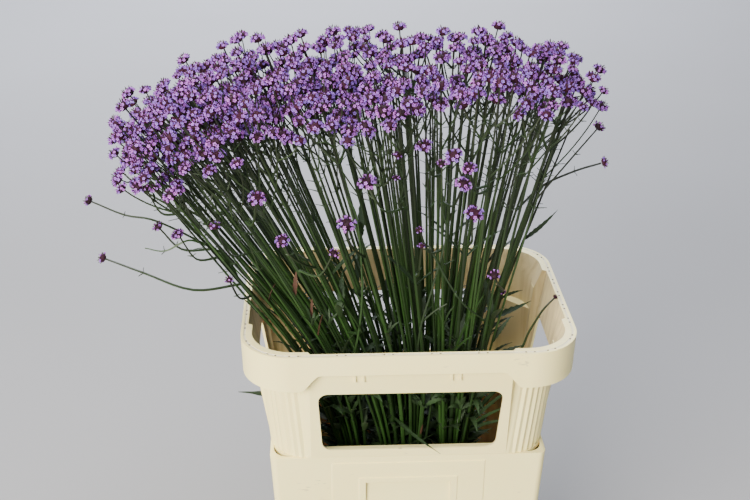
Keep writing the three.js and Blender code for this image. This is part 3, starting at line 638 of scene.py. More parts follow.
FLOOR_Z = 4  # plant sizes are in millimetres, and become metres when the mesh is made
FOOT_CENTRE = (0, 0)
FOOT_REACH = (88, 72)
MOUTH_CENTRE = (-28, 0)
MOUTH_REACH = (160, 100)
LEAN_CENTRE = (-0.25, 0)  # sideways for each millimetre of height above the rim
LEAN_REACH = (0.62, 0.15)
ROUNDING = 0.13  # how far the corners of the fan are drawn in
LEAN_ROUNDING = 0.38  # the same, of how far the stems lean outwards
COLUMNS = 7
ROWS = 6
STEEP_COLUMNS = 2
CANOPY_TOP = 314
DROP_LEFT = 110
DROP_MIDDLE = 20  # from the highest part, on the right, to the middle and the left
DROP_RIGHT = 48
CORNER_RISE = 0.26  # how much less the right-hand corners drop
UNEVENNESS = 16
STEM_WIDTH = 4.8
STEM_GIRTHS = (0.65, 1.35)  # the thinnest and the thickest, as shares of that width
SPRAY_WIDTHS = (2.6, 1.8)  # where the spray starts and at its head
SMALL_SPRAY_WIDTHS = (2.1, 1.5)
THIN_STEM = 0.84  # girth of the stems of small sprays, compared with the others
HEAD_RADIUS = 10.6
END_HEAD_RADIUS = 8  # of the side heads at the left and right ends of the fan
HEADS_ASIDE = ((0.7, 0.95), (0.32, 0.48))  # of a spray's outer and inner side heads
OUTER_DOWN = ((17, 28), (8, 20))  # of the outer side heads, on the left and on the right
INNER_DOWN = (14, 20)
BUNCH_COLUMNS = (0, 0, 1, 1, 1, 2, 2)
BUNCH_ROWS = (0, 0, 0, 1, 1, 1)
BUNCH_TOP = 112
SPREAD_TOP = 380
FOOT_SPREAD = 0.5
PLANT_SEED = 201
RIM = 420
EXTRA_PER_BUNCH = 27  # thinner stems, between those of the solid model
EXTRA_SPREAD = 0.94  # of the fan
EXTRA_DROP = (-14, 28)  # of their tops below the canopy's surface
EXTRA_SPRAY = (110, 175)
STEM_SPACING = 7  # at the least, between two stems where they pass the rim
LEAF_NODE_FOOT = 98  # the lowest a stem's main leaf can stand
MAIN_LEAF = (46, 68)  # length of the lowest and of the highest main leaf
MAIN_LEAF_WIDTH = 4.6  # half of it, as for every leaf below
LEAF_PAIR_HEIGHTS = (205, 285, 365)  # of the smaller pairs
LEAF_PAIR_SHIFT = 25
LEAF_PAIR_LENGTHS = (50, 80)
LEAF_PAIR_WIDTH = 5.2
LEAF_PAIR_CHANCE = 0.75  # of the lowest
LEAF_RUN = (0.62, 0.1)  # sideways, as shares of the length: straight and bent
LEAF_TEETH = (0.82, 1.12)  # half width in a notch and on a tooth
LEAF_TIP = 0.06
LEAF_FOLD = 0.32
LEAF_THICKNESS = 0.7
EDGE_CUT = 0.25  # of a stem's edges, as a share of its half width
PLANT_TOP = 700
UP = Vector((0, 0, 1))


def fan(u, v, z):
    """The point at height z on the line of fan place (u, v)."""
    place, leaning = [(u * (1 - rounding * v * v), v * (1 - rounding * u * u))
                      for rounding in (ROUNDING, LEAN_ROUNDING)]
    mouth = [MOUTH_CENTRE[k] + MOUTH_REACH[k] * place[k] for k in (0, 1)]
    lean = [LEAN_CENTRE[k] + LEAN_REACH[k] * leaning[k] for k in (0, 1)]
    above = z - RIM
    if above >= 0:
        return Vector((mouth[0] + lean[0] * above, mouth[1] + lean[1] * above, z))
    foot = [FOOT_CENTRE[k] + FOOT_REACH[k] * place[k] for k in (0, 1)]
    rise = RIM - FLOOR_Z
    t = (z - FLOOR_Z) / rise
    share = ease(t)
    bend = rise * t * t * (t - 1)
    return Vector([foot[k] * (1 - share) + mouth[k] * share + lean[k] * bend for k in (0, 1)]
                  + [z])


def seeded_random(seed):
    """Evenly spread numbers from 0 to 1, the same ones as the solid plants are drawn with."""
    state = seed
    while True:
        state = (state * 1664525 + 1013904223) & 0xFFFFFFFF
        yield state / 4294967296


def smoothstep(value, low, high):
    return ease(min(1, max(0, (value - low) / (high - low))))


def canopy_drop(u, v):
    """How far the canopy's surface lies below its top."""
    return (DROP_LEFT * max(0, -u) ** 2.8
            + DROP_RIGHT * max(0, u * (1 - CORNER_RISE * v * v)) ** 4
            + DROP_MIDDLE * (1 - smoothstep(u, 0, 0.4)))


def plan_stems():
    numbers = seeded_random(PLANT_SEED)

    def between(low, high):
        return mix(low, high, next(numbers))

    stems = []
    for column in range(COLUMNS):
        for row in range(ROWS):
            cell = ((2 * column + 1) / COLUMNS - 1, (2 * row + 1) / ROWS - 1)
            shift = (between(-0.28, 0.28) * (1 - 0.8 * cell[0] ** 2), between(-0.24, 0.24))
            place = (cell[0] + shift[0] / COLUMNS, cell[1] + shift[1] / ROWS)
            central = abs(shift[0]) < 0.08 and abs(shift[1]) < 0.12
            downs = (OUTER_DOWN[cell[0] > 0.2], INNER_DOWN)
            drop = canopy_drop(*place) + UNEVENNESS * next(numbers) ** 1.5
            steep = column < STEEP_COLUMNS
            stems.append({
                "column": column, "row": row, "cell": cell, "place": place,
                "top": RIM + CANOPY_TOP - drop,
                "bearing": between(-0.25, 0.25),
                "spray": between(112, 146),
                "upper": between(44, 58),
                "lower": between(76, 94),
                "heads": [(between(0.85, 1), between(*HEADS_ASIDE[k % 2]),
                           between(*downs[k % 2])) for k in range(4)],
                "side_radius": (END_HEAD_RADIUS if steep or column == COLUMNS - 1
                                else HEAD_RADIUS),
                "count": 4 if next(numbers) < (0.8 if central else 0) else 3,
                "free": [-1 if value > 0 else 1 for value in shift],
                "leaf_at": between(0.28, 0.54 if steep else 0.86),
                "leaf_turn": between(-0.6, 0.6),
            })
    return stems


def level(angle):
    return Vector((math.cos(angle), math.sin(angle), 0))


def stem_point(place, centre, z):
    """A stem's line: drawn together at the bunch's foot, and spread from the rim up."""
    spread = mix(FOOT_SPREAD, 1, smoothstep(z, BUNCH_TOP, SPREAD_TOP))
    return fan(*[centre[k] + (place[k] - centre[k]) * spread for k in (0, 1)], z)


class Growth:
    """A plant's mesh as it grows. Every point carries two marks: how far up the plant it is,
    from 0 to 1, and the tint of the organ that it belongs to. In a floret the first mark runs
    instead from 0 at the throat and the tube's end to 1 at the lobes, and carries the petals'
    painted shade."""

    def __init__(self):
        self.points, self.marks, self.faces, self.finish_of = [], [], [], []

    def ring(self, points, share, tint):
        start = len(self.points)
        self.points += points
        self.marks += [(share, tint)] * len(points)
        return range(start, len(self.points))

    def face(self, corners, finish):
        self.faces.append(corners)
        self.finish_of.append(finish)

    def skin(self, rings, finish):
        """A closed skin over the rings, from the first to the last."""
        count = len(rings[0])
        for lower, upper in zip(rings, rings[1:]):
            for k in range(count):
                after = (k + 1) % count
                self.face((lower[k], lower[after], upper[after], upper[k]), finish)
        self.face(tuple(reversed(rings[0])), finish)
        self.face(tuple(rings[-1]), finish)

    def piece(self, name, node=None, slot="flower"):
        """Makes the piece, in metres, hangs it on the root, and hides the solid part that it
        stands for.
        """
        made = new_piece(name, [point * MM for point in self.points], self.faces)
        used = sorted(set(self.finish_of))
        for finish in used:
            made.data.materials.append(plant_finishes[finish])
        made.data.polygons.foreach_set("material_index", [used.index(k) for k in self.finish_of])
        for k, mark in enumerate(("share", "tint")):
            attribute = made.data.attributes.new(mark, "FLOAT", "POINT")
            attribute.data.foreach_set("value", [marks[k] for marks in self.marks])
        made.data.shade_smooth()
        made.data.set_sharp_from_angle(angle=math.radians(50))
        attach(made, "root")
        if node:
            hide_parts(node)
        return made


def section(centre, direction, across, half_width, corner=0.0):
    """A square section round a point, its corners cut by the given share of its half width."""
    y = direction.cross(across).normalized()
    x = y.cross(direction).normalized()
    if not corner:
        pairs = [(-1, -1), (1, -1), (1, 1), (-1, 1)]
    else:
        near = 1 - corner
        pairs = [(-near, -1), (near, -1), (1, -near), (1, near), (near, 1), (-near, 1),
                 (-1, near), (-1, -near)]
    return [centre + x * (a * half_width) + y * (b * half_width) for a, b in pairs]


def grow_tube(growth, points, widths, across, finish, shares, tint, corner=0.0):
    """A closed tube through the points."""
    rings = []
    for k, point in enumerate(points):
        ahead = points[min(k + 1, len(points) - 1)]
        behind = points[max(k - 1, 0)]
        corners = section(point, (ahead - behind).normalized(), across, widths[k] / 2, corner)
        rings.append(growth.ring(corners, shares[k], tint))
    growth.skin(rings, finish)


def grow_leaf(growth, path, across, half_width, teeth, finish, share, tint):
    """A narrow toothed leaf, folded in a shallow V along its midrib, with thin closed edges."""
    steps = 2 * teeth + 2
    rings = []
    for k in range(steps + 1):
        t = k / steps
        centre = path(t)
        direction = (path(min(1, t + 0.04)) - path(max(0, t - 0.04))).normalized()
        side = (across - direction * across.dot(direction)).normalized()
        up = side.cross(direction).normalized()
        swell = math.sin(math.pi * min(1, t * 0.9 + 0.1) ** 0.8) * LEAF_TEETH[k % 2]
        reach = half_width * max(LEAF_TIP, swell)
        fold = up * (reach * LEAF_FOLD)
        thick = up * (LEAF_THICKNESS / 2)
        rings.append(growth.ring([centre - side * reach + fold, centre - thick,
                                  centre + side * reach + fold, centre + thick],
                                 share, tint + 0.15 * (k % 2)))
    growth.skin(rings, finish)


def leaf_path(start, outward, length, rise, droop):
    """Leaves the stem upwards and outwards, and bends down towards its tip."""
    def path(t):
        return (start + outward * (length * (LEAF_RUN[0] * t + LEAF_RUN[1] * t * t))
                + UP * (length * (rise * t - droop * t * t)))
    return path


def grow_leaf_pair(growth, at, z, angle, length, half_width, share, rng):
    """Two opposite leaves at height z of a stem; each pair is turned its own way."""
    for side in (0, math.pi):
        outward = level(angle + side + rng.uniform(-0.2, 0.2))
        path = leaf_path(at(z) + outward * 1.5, outward, length * rng.uniform(0.8, 1.1),
                         rng.uniform(0.55, 1.0), rng.uniform(0.1, 0.5))
        grow_leaf(growth, path, outward.cross(UP), half_width, 5, LEAF, share, rng.random())


def green_stem():
    """A fresh square stem: a waxy green that turns dark and dull towards the flowers, with dark
    fibres along it and a coat of short hairs that softens its gloss."""
    made, tree, shader = new_material("fresh_square_stem")
    place = add(tree, "TexCoord").outputs["Object"]
    share = add(tree, "Attribute", attribute_name="share").outputs["Fac"]
    tint = add(tree, "Attribute", attribute_name="tint").outputs["Fac"]
    low = add(tree, "MixRGB", {"Fac": tint, "Color1": "#10220B", "Color2": "#27461A"})
    high = add(tree, "MixRGB", {"Fac": tint, "Color1": "#14190E", "Color2": "#242B1A"})
    upward = add(tree, "MapRange", {"Value": share, "From Min": 0.6, "From Max": 1.0})
    green = add(tree, "MixRGB", {"Fac": upward, "Color1": low, "Color2": high})
    drawn = add(tree, "Mapping", {"Vector": place, "Scale": (600, 600, 30)})
    fibre = add(tree, "TexNoise", {"Vector": drawn, "Scale": 1.0})
    blotch = add(tree, "MapRange", {"Value": fibre, "From Min": 0.5, "From Max": 0.8,
                                    "To Max": 0.5})
    striped = add(tree, "MixRGB", {"Fac": blotch, "Color1": green, "Color2": "#0C1208"})
    bump = add(tree, "Bump", {"Height": fibre, "Strength": 0.25, "Distance": 0.3 * MM})
    link(tree, shader, {"Base Color": striped, "Roughness": 0.5, "Normal": bump,
                        "Specular IOR Level": 0.35})
    return made


def mottled_blade(name, tones, spot, scale, detail, spread, relief, roughness):
    """A leaf's blade: every leaf has a tone of its own, and a fine mottle shows on it in colour
    and in relief."""
    made, tree, shader = new_material(name)
    place = add(tree, "TexCoord").outputs["Object"]
    tint = add(tree, "Attribute", attribute_name="tint").outputs["Fac"]
    tone = add(tree, "MixRGB", {"Fac": tint, "Color1": tones[0], "Color2": tones[1]})
    mottle = add(tree, "TexNoise", {"Vector": place, "Scale": scale, "Detail": detail})
    amount = add(tree, "MapRange", {"Value": mottle, "From Min": spread[0],
                                    "From Max": spread[1], "To Max": spread[2]})
    spotted = add(tree, "MixRGB", {"Fac": amount, "Color1": tone, "Color2": spot})
    bump = add(tree, "Bump", {"Height": mottle, "Strength": relief[0], "Distance": relief[1]})
    link(tree, shader, {"Base Color": spotted, "Roughness": roughness, "Normal": bump})
    return made


def green_leaf():
    """A rough leaf: dull deep green above, with paler sunken veins and uneven tone."""
    return mottled_blade("rough_green_leaf", ("#10200C", "#213A18"), "#2C4526", 350.0, 2.0,
                         spread=(0.5, 0.75, 0.6), relief=(0.4, 0.4 * MM), roughness=0.62)


STEM, LEAF = 0, 1
plant_finishes = [green_stem(), green_leaf()]


def share_at(z):
    return min(1, max(0, z / PLANT_TOP))


def grow_stem(growth, stem, centre, high, rng):
    """A stem from the floor to the foot of its spray, with its leaves."""
    def at(z):
        return stem_point(stem["place"], centre, z)

    tint = rng.random()
    heights = [FLOOR_Z + (high - FLOOR_Z) * k / 20 for k in range(21)]
    own = "leaf_at" in stem
    foot_width = STEM_WIDTH * rng.uniform(*STEM_GIRTHS) * (1 if own else THIN_STEM)
    top_width = SPRAY_WIDTHS[0] if own else SMALL_SPRAY_WIDTHS[0]
    widths = [mix(foot_width, top_width, (k / 20) ** 1.2) for k in range(21)]
    grow_tube(growth, [at(z) for z in heights], widths, level(stem["bearing"]), STEM,
              [share_at(z) for z in heights], tint, EDGE_CUT)
    if own:
        inward = math.atan2(centre[1] - stem["cell"][1], centre[0] - stem["cell"][0])
        quarter = round((inward - stem["bearing"]) / (math.pi / 2))
        outward = level(stem["bearing"] + quarter * math.pi / 2 + stem["leaf_turn"] * 0.4)
        height = mix(LEAF_NODE_FOOT, high, stem["leaf_at"])
        for side in (1, -1):
            path = leaf_path(at(height + 2), outward * side, mix(*MAIN_LEAF, stem["leaf_at"]),
                             0.78, 0.14)
            grow_leaf(growth, path, outward.cross(UP * side), MAIN_LEAF_WIDTH, 5, LEAF,
                      share_at(height), tint)
    for k, z in enumerate(LEAF_PAIR_HEIGHTS):
        height = z + rng.uniform(-LEAF_PAIR_SHIFT, LEAF_PAIR_SHIFT)
        if rng.random() < LEAF_PAIR_CHANCE - 0.2 * k and height < high - 20:
            grow_leaf_pair(growth, at, height, stem["bearing"] + k * math.pi / 2,
                           rng.uniform(*LEAF_PAIR_LENGTHS) * (1 - 0.2 * k), LEAF_PAIR_WIDTH - k,
                           share_at(height), rng)


def spray_base(stem):
    return stem["top"] - stem["spray"]


def extra_stems(side, depth, members, rng):
    """More stems between the members of a bunch, each at a free place of its part of the fan."""
    first = BUNCH_COLUMNS.index(side)
    last = first + BUNCH_COLUMNS.count(side)
    columns = [2 * column / COLUMNS - 1 for column in (first, last)]
    used = [stem["place"] for stem in members]
    made = []
    while len(made) < EXTRA_PER_BUNCH:
        place = (rng.uniform(*columns) * EXTRA_SPREAD,
                 rng.uniform(depth - 1, depth) * EXTRA_SPREAD)
        if all(math.hypot(*[MOUTH_REACH[k] * (place[k] - other[k]) for k in (0, 1)])
               > STEM_SPACING for other in used):
            used.append(place)
            made.append({"place": place, "bearing": rng.uniform(-0.7, 0.7),
                         "top": RIM + CANOPY_TOP - canopy_drop(*place)
                         - rng.uniform(*EXTRA_DROP),
                         "spray": rng.uniform(*EXTRA_SPRAY)})
    return made


stems = plan_stems()
extras = []
for side, side_name in enumerate(("left", "middle", "right")):
    for depth, depth_name in enumerate(("front", "back")):
        rng = random.Random(31 * side + depth)
        members = [stem for stem in stems if BUNCH_COLUMNS[stem["column"]] == side
                   and BUNCH_ROWS[stem["row"]] == depth]
        centre = [sum(stem["cell"][k] for stem in members) / len(members) for k in (0, 1)]
        added = extra_stems(side, depth, members, rng)
        extras += added
        growth = Growth()
        for stem in members + added:
            stem["centre"] = centre
            grow_stem(growth, stem, centre, spray_base(stem), rng)
        bunch = f"{side_name}_{depth_name}"
        growth.piece(f"stems_{bunch}", f"bunch_{bunch}", "stem")

# ------------------------------------------------------------
# Sprays. Above its last leaves a stem forks twice into opposite stalks, and each stalk ends in
# a dense domed head, often with a smaller head on either side. A head is a knob of dark red
# calyces from which sixteen lilac florets stand out; those at the crown are still in bud.
# ------------------------------------------------------------

HEAD_HEIGHT = 12
HEAD_CENTRE = 4.6  # of its dome, above the end of the stalk
HEAD_REACH = (9.6, 6.9)  # of the florets from that centre: sideways and upwards
FLORET_RADIUS = 2.1
FLORET_TUBE = 4.2
# A notch and a lobe's two corners: turn in lobes, reach and lift in radii.
LOBE = ((-0.5, 0.42, -0.1), (-0.24, 0.98, 0.12), (0.24, 0.98, 0.12))
FLORETS = 16
CROWN = 0.8  # height on the dome above which all is still in bud
SKIRT = -0.16  # and below which the florets end and the calyces show
BUDS = 26
FRINGE = 11  # calyces that show under the florets
STALK_WIDTH = 1.9
SIDE_STALK_WIDTH = 1.4
STALK_SHARES = (0.75, 1)  # of the way up the plant, as far as their colour goes
HEAD_SPACING = 17.5  # between the middles of two heads
BRACT_LENGTHS = ((12, 20), (7, 12))  # at a spray's own forks, and on its stalks
BRACT_WIDTH = 1.2
SIDE_HEAD_CHANCE = (0.8, 0.45)  # on the left and in the middle, and on the right
SIDE_HEAD_RUN = (20, 30)  # from the fork to the stalk's own head
SIDE_HEAD_REACH = (18.5, 25)
SIDE_HEAD_RISE = (-9, 4)
SIDE_HEAD_SIZES = (0.72, 1.0)
# How far above the rim the lowest heads hang, from the left of the canopy to its right.
CANOPY_FOOT = ((-360, 270), (-328, 178), (-231, 208), (-176, 238), (-69, 250), (0, 280), (63, 290),
               (125, 280), (178, 258), (225, 236), (250, 290))
BOX_MARGIN = 4  # of a head's middle inside the solid model's box, but for the box's top
BOX_REACH = (-BOX_MARGIN, -BOX_MARGIN, 4)
GOLDEN_ANGLE = math.pi * (3 - math.sqrt(5))
PETAL, CALYX = 2, 3
HEAD_VARIANTS = 6
SIDE_STALKS = ((0, 1), (2, 1), (1, 0), (3, 0))  # head, and whether from the lower node


def lilac_petal():
    """Petals of one head run from lilac to a bluer violet. They are soft and matt, pale at the
    lobes' tips and near black towards the throat and down the tube: partly the throat's own darker
    colour, partly painted shade between the florets."""
    made, tree, shader = new_material("lilac_petal")
    tint = add(tree, "Attribute", attribute_name="tint").outputs["Fac"]
    share = add(tree, "Attribute", attribute_name="share").outputs["Fac"]
    lobe = add(tree, "MixRGB", {"Fac": tint, "Color1": "#C06ADB", "Color2": "#9168D8"})
    # Towards the throat the colour turns near black, and so does each floret's tube down into the
    # head: partly the throat's own darker colour, partly painted shade between the florets.
    petal_and_painted_shade = add(tree, "MixRGB", {"Fac": share, "Color1": "#240A2C", "Color2": lobe})
    link(tree, shader, {"Base Color": petal_and_painted_shade, "Roughness": 0.6})
    return made


def red_calyx():
    """Calyces and buds: hairy and dull, wine red to purple."""
    made, tree, shader = new_material("wine_red_calyx")
    tint = add(tree, "Attribute", attribute_name="tint").outputs["Fac"]
    red = add(tree, "MixRGB", {"Fac": tint, "Color1": "#180510", "Color2": "#40102C"})
    link(tree, shader, {"Base Color": red, "Roughness": 0.75, "Specular IOR Level": 0.25})
    return made


plant_finishes += [lilac_petal(), red_calyx()]


def frame_along(direction, spin=0.0):
    """Two directions square to the given one and to each other."""
    helper = UP if abs(direction.z) < 0.9 else Vector((1, 0, 0))
    x = direction.cross(helper).normalized()
    y = direction.cross(x).normalized()
    return (x * math.cos(spin) + y * math.sin(spin), y * math.cos(spin) - x * math.sin(spin))


def grow_floret(head, centre, outward, radius, spin, tint):
    """Five lobes, with notches between them, on a tube that narrows into the head."""
    x, y = frame_along(outward, spin)
    rim = []
    for lobe in range(5):
        for turn, reach, lift in LOBE:
            angle = (lobe + turn) * 2 * math.pi / 5
            rim.append(centre + (x * math.cos(angle) + y * math.sin(angle)) * (radius * reach)
                       + outward * (radius * lift))
    ring = head.ring(rim, 1.0, tint)
    # The throat and the tube's end take share 0, so the petal colour turns near black there:
    # partly painted shade between the florets.
    throat = head.ring([centre - outward * (radius * 0.25)], 0.0, tint)[0]
    tube = head.ring([centre - outward * FLORET_TUBE], 0.0, tint)[0]
    for k in range(15):
        after = ring[(k + 1) % 15]
        head.face((ring[k], after, throat), PETAL)
        head.face((after, ring[k], tube), PETAL)


def grow_bud(head, foot, outward, length, width, tint):
    """A bud or a calyx: a slim spindle of eight faces."""
    x, y = frame_along(outward)
    middle = foot + outward * (length * 0.55)
    ring = head.ring([middle + x * width, middle + y * width, middle - x * width,
                      middle - y * width], 0.5, tint)
    low, high = head.ring([foot, foot + outward * length], 0.5, tint)
    for k in range(4):
        after = ring[(k + 1) % 4]
        head.face((ring[k], after, high), CALYX)
        head.face((after, ring[k], low), CALYX)


def head_shape(seed, florets):
    """One flower head with its stalk's end at the origin, growing along +Z."""
    rng = random.Random(seed)
    head = Growth()
    middle = UP * HEAD_CENTRE

    def dome(height, turn, size):
        across = math.sqrt(max(0, 1 - height * height))
        return Vector((HEAD_REACH[0] * across * math.cos(turn),
                       HEAD_REACH[0] * across * math.sin(turn), HEAD_REACH[1] * height)) * size

    def outward(point):
        return Vector((point.x / HEAD_REACH[0], point.y / HEAD_REACH[0],
                       point.z / HEAD_REACH[1] + 0.12)).normalized()

    for k in range(florets):
        height = mix(CROWN, SKIRT, (k + 0.5) / florets)
        point = dome(height, k * GOLDEN_ANGLE + rng.uniform(-0.25, 0.25), rng.uniform(0.86, 1.08))
        grow_floret(head, middle + point, outward(point), FLORET_RADIUS * rng.uniform(0.85, 1.1),
                    rng.uniform(0, 1.2), rng.random())
    for k in range(BUDS):
        height = mix(1, 0.05, (k + 0.5) / BUDS)
        point = dome(height, k * GOLDEN_ANGLE + 1.2 + rng.uniform(-0.3, 0.3), 0.62)
        grow_bud(head, middle + point, outward(point), rng.uniform(3.4, 6.2), 0.7, rng.random())
    for k in range(FRINGE):
        point = dome(rng.uniform(-0.45, -0.15), k * 2 * math.pi / FRINGE, 0.4)
        grow_bud(head, middle + point, outward(point), 5.2, 0.8, rng.random())
    rings = [head.ring([middle + dome(height, turn * math.pi / 4, 0.72) for turn in range(8)],
                       0.5, 0.3) for height in (-0.75, -0.2, 0.45, 0.85)]
    head.skin(rings, CALYX)
    return head


head_shapes = [head_shape(seed, FLORETS) for seed in range(HEAD_VARIANTS)]


def grow_head(growth, foot, direction, radius, rng, shapes=head_shapes):
    """Sets a flower head on the end of a stalk."""
    shape = rng.choice(shapes)
    x, y = frame_along(direction, rng.uniform(0, 2 * math.pi))
    size = radius / HEAD_RADIUS
    x, y, z = y * size, x * size, direction * size
    start = len(growth.points)
    growth.points += [foot + x * p.x + y * p.y + z * p.z for p in shape.points]
    bluer = rng.uniform(-0.3, 0.3)
    growth.marks += [(share, min(1, max(0, tint + bluer))) for share, tint in shape.marks]
    for corners, finish in zip(shape.faces, shape.finish_of):
        growth.face(tuple(start + k for k in corners), finish)


taken = []  # the middles of all the heads so far


def canopy_foot(x):
    for (left, low), (right, high) in zip(CANOPY_FOOT, CANOPY_FOOT[1:]):
        if x <= right:
            return mix(low, high, (x - left) / (right - left))
    return CANOPY_FOOT[-1][1]


def is_free(point):
    """Whether a head may stand there: within the solid model's box or just above it, not under
    the canopy, and clear of the other heads."""
    return (all(low / MM + BOX_MARGIN < value < high / MM + above
                for low, value, high, above in zip(cad_box[0], point, cad_box[1], BOX_REACH))
            and point.z - RIM > canopy_foot(point.x) + HEAD_CENTRE
            and all((point - other).length > HEAD_SPACING for other in taken))


def even_steps(first, last, steps):
    return [mix(first, last, k / steps) for k in range(steps + 1)]


def curve(start, bend, end, steps):
    """Points of a smooth curve that passes near the bend half way."""
    pull = bend * 2 - (start + end) * 0.5
    points = []
    for k in range(steps + 1):
        t = k / steps
        points.append(start * (1 - t) ** 2 + pull * (2 * t * (1 - t)) + end * t ** 2)
    return points


def grow_stalk(growth, start, bend, end, width, radius, rng, steps=6):
    """A stalk from inside its parent to a head."""
    points = curve(start, bend, end, steps)
    direction = (points[-1] - points[-2]).normalized()
    points[-1] = end + direction * 2
    across = frame_along((end - start).normalized())[0]
    widths = even_steps(width, width * 0.8, steps)
    grow_tube(growth, points, widths, across, STEM, even_steps(*STALK_SHARES, steps),
              rng.random())
    grow_head(growth, end, direction, radius, rng)
    return points, direction


def grow_bracts(growth, point, direction, turn, length, rng):
    """The pair of small pointed bracts under a fork."""
    x, y = frame_along(direction, turn)
    for side in (1, -1):
        outward = (x * side * 0.8 + direction * 0.6).normalized()
        grow_leaf(growth, lambda t: point + outward * (length * t) - direction * (t * t * 2),
                  y, BRACT_WIDTH, 1, LEAF, 0.8, rng.random() * 0.5)


def grow_side_heads(growth, points, direction, turn, chance, rng):
    """Two smaller heads on short stalks, on either side of a stalk's own head."""
    start = points[-1] - (points[-1] - points[0]).normalized() * rng.uniform(*SIDE_HEAD_RUN)
    nearest = min(points, key=lambda point: (point - start).length)
    x, _ = frame_along(direction, turn)
    for side in (1, -1):
        reach = rng.uniform(*SIDE_HEAD_REACH)
        rise = rng.uniform(*SIDE_HEAD_RISE)
        radius = HEAD_RADIUS * rng.uniform(*SIDE_HEAD_SIZES)
        end = points[-1] + x * (side * reach) + direction * rise
        middle = end + direction * HEAD_CENTRE
        if rng.random() < chance and is_free(middle):
            taken.append(middle)
            bend = nearest.lerp(end, 0.55) + x * (side * 3) - direction * 3
            grow_stalk(growth, nearest, bend, end, SIDE_STALK_WIDTH, radius, rng, 4)
    grow_bracts(growth, nearest, direction, turn, rng.uniform(*BRACT_LENGTHS[1]), rng)


def head_room(stem, z):
    """How far a head may stand from the middle of its cell, as fan places at height z. The
    fan's rounding narrows a cell and turns its sides."""
    cell = stem["cell"]
    layers = [((MOUTH_REACH[k], ROUNDING), (LEAN_REACH[k] * (z - RIM), LEAN_ROUNDING))
              for k in (0, 1)]
    reach = [sum(size * (1 - rounding * cell[1 - k] ** 2) for size, rounding in layers[k])
             for k in (0, 1)]
    turn = [sum(2 * size * rounding * abs(cell[0] * cell[1]) for size, rounding in layers[k])
            / reach[1 - k] for k in (0, 1)]
    lean = LEAN_CENTRE[0] + LEAN_REACH[0] * cell[0]
    room = []
    for k, count in enumerate((COLUMNS, ROWS)):
        margin = stem["side_radius"] * math.hypot(1, turn[k], lean if k == 0 else 0)
        room.append(1 / count - (margin + 1.5) / reach[k])
    return room


def head_place(stem, k):
    """The foot of side head k: 0 and 2 stand right and left, 1 and 3 at the back and front on
    either side of the stem, the first of them where the cell is freer."""
    out, aside, down = stem["heads"][k]
    z = stem["top"] - down
    room = head_room(stem, z)
    sign = 1 if k < 2 else -1
    x, y = stem["free"]
    shift = (out, -x * y * aside) if k % 2 == 0 else (x * aside, y * out)
    shift = [sign * share for share in shift]
    return fan(stem["cell"][0] + shift[0] * room[0], stem["cell"][1] + shift[1] * room[1],
               z - HEAD_HEIGHT)


def spray_axis(stem, z):
    """A spray's own axis, which continues its stem's line."""
    return stem_point(stem["place"], stem["centre"], z)


def grow_axis(growth, stem, widths, rng):
    low, high = spray_base(stem), stem["top"] - HEAD_HEIGHT
    heights = [low + (high - low) * k / 8 for k in range(9)]
    points = [spray_axis(stem, z) for z in heights]
    direction = (points[-1] - points[-2]).normalized()
    points[-1] += direction * 2
    grow_tube(growth, points, even_steps(*widths, 8), level(stem["bearing"]), STEM,
              [share_at(z) for z in heights], rng.random(), EDGE_CUT)
    return points, direction


def grow_spray(stem, name, node):
    """A stem's top with its crossed pairs of side stalks, every one with its heads."""
    rng = random.Random(name)
    growth = Growth()
    points, direction = grow_axis(growth, stem, SPRAY_WIDTHS, rng)
    foot = points[-1] - direction * 2
    grow_head(growth, foot, direction, HEAD_RADIUS, rng)
    chance = SIDE_HEAD_CHANCE[stem["column"] > 4]
    stalks = []
    for head, lower in SIDE_STALKS[:stem["count"]]:
        node_z = stem["top"] - (stem["lower"] if lower else stem["upper"])
        start = spray_axis(stem, node_z + 2)
        end = head_place(stem, head)
        bend = start.lerp(end, 0.6)
        bend.z = (start.z + end.z) / 2
        stalks.append(grow_stalk(growth, start, bend, end, STALK_WIDTH, stem["side_radius"],
                                 rng))
    for node_z in (stem["top"] - stem["lower"], stem["top"] - stem["upper"]):
        grow_bracts(growth, spray_axis(stem, node_z), direction, stem["bearing"] + node_z,
                    rng.uniform(*BRACT_LENGTHS[0]), rng)
    grow_side_heads(growth, points, direction, rng.uniform(0, 3), chance, rng)
    for stalk, way in stalks:
        grow_side_heads(growth, stalk, way, rng.uniform(0, 3), chance, rng)
    return growth.piece(name, node)


def own_head(stem):
    """The middle of the head at the end of a spray's own axis."""
    return spray_axis(stem, stem["top"] - HEAD_HEIGHT) + UP * HEAD_CENTRE


def lower_to_free_place(stem):
    """Shortens a thinner stem's spray until its own head stands clear of the others."""
    base, top = spray_base(stem), stem["top"]
    for step in range(9):
        stem["top"] = top - 5 * step
        if is_free(own_head(stem)):
            break
    stem["headed"] = is_free(own_head(stem))
    stem["spray"] = stem["top"] - base


for stem in stems:
    taken.append(own_head(stem))
    for head, _ in SIDE_STALKS[:stem["count"]]:
        taken.append(head_place(stem, head) + UP * HEAD_CENTRE)
for stem in extras:
    lower_to_free_place(stem)
    if stem["headed"]:
        taken.append(own_head(stem))
for number, stem in enumerate(stems):
    grow_spray(stem, f"flower_spray_{number + 1:02d}", f"spray_{number + 1:02d}")

# ------------------------------------------------------------
# Small sprays. The thinner stems between the others fork too, lower down. Their long thin stalks
# cross under the canopy and reach for the free places in it.
# ------------------------------------------------------------

FORKS = ((1, 34, 58), (3, 28, 50), (5, 20, 34))  # step along the axis, and the stalks' reach
FORK_DROP = (-4, 22)  # of a stalk's head below the stem's own
FORK_TRIES = 4  # at finding a free place for a head
FORK_BRACTS = 14
SMALL_HEAD_SIZES = ((0.85, 1.05), (0.7, 1))  # of the stem's own head, and of those on stalks


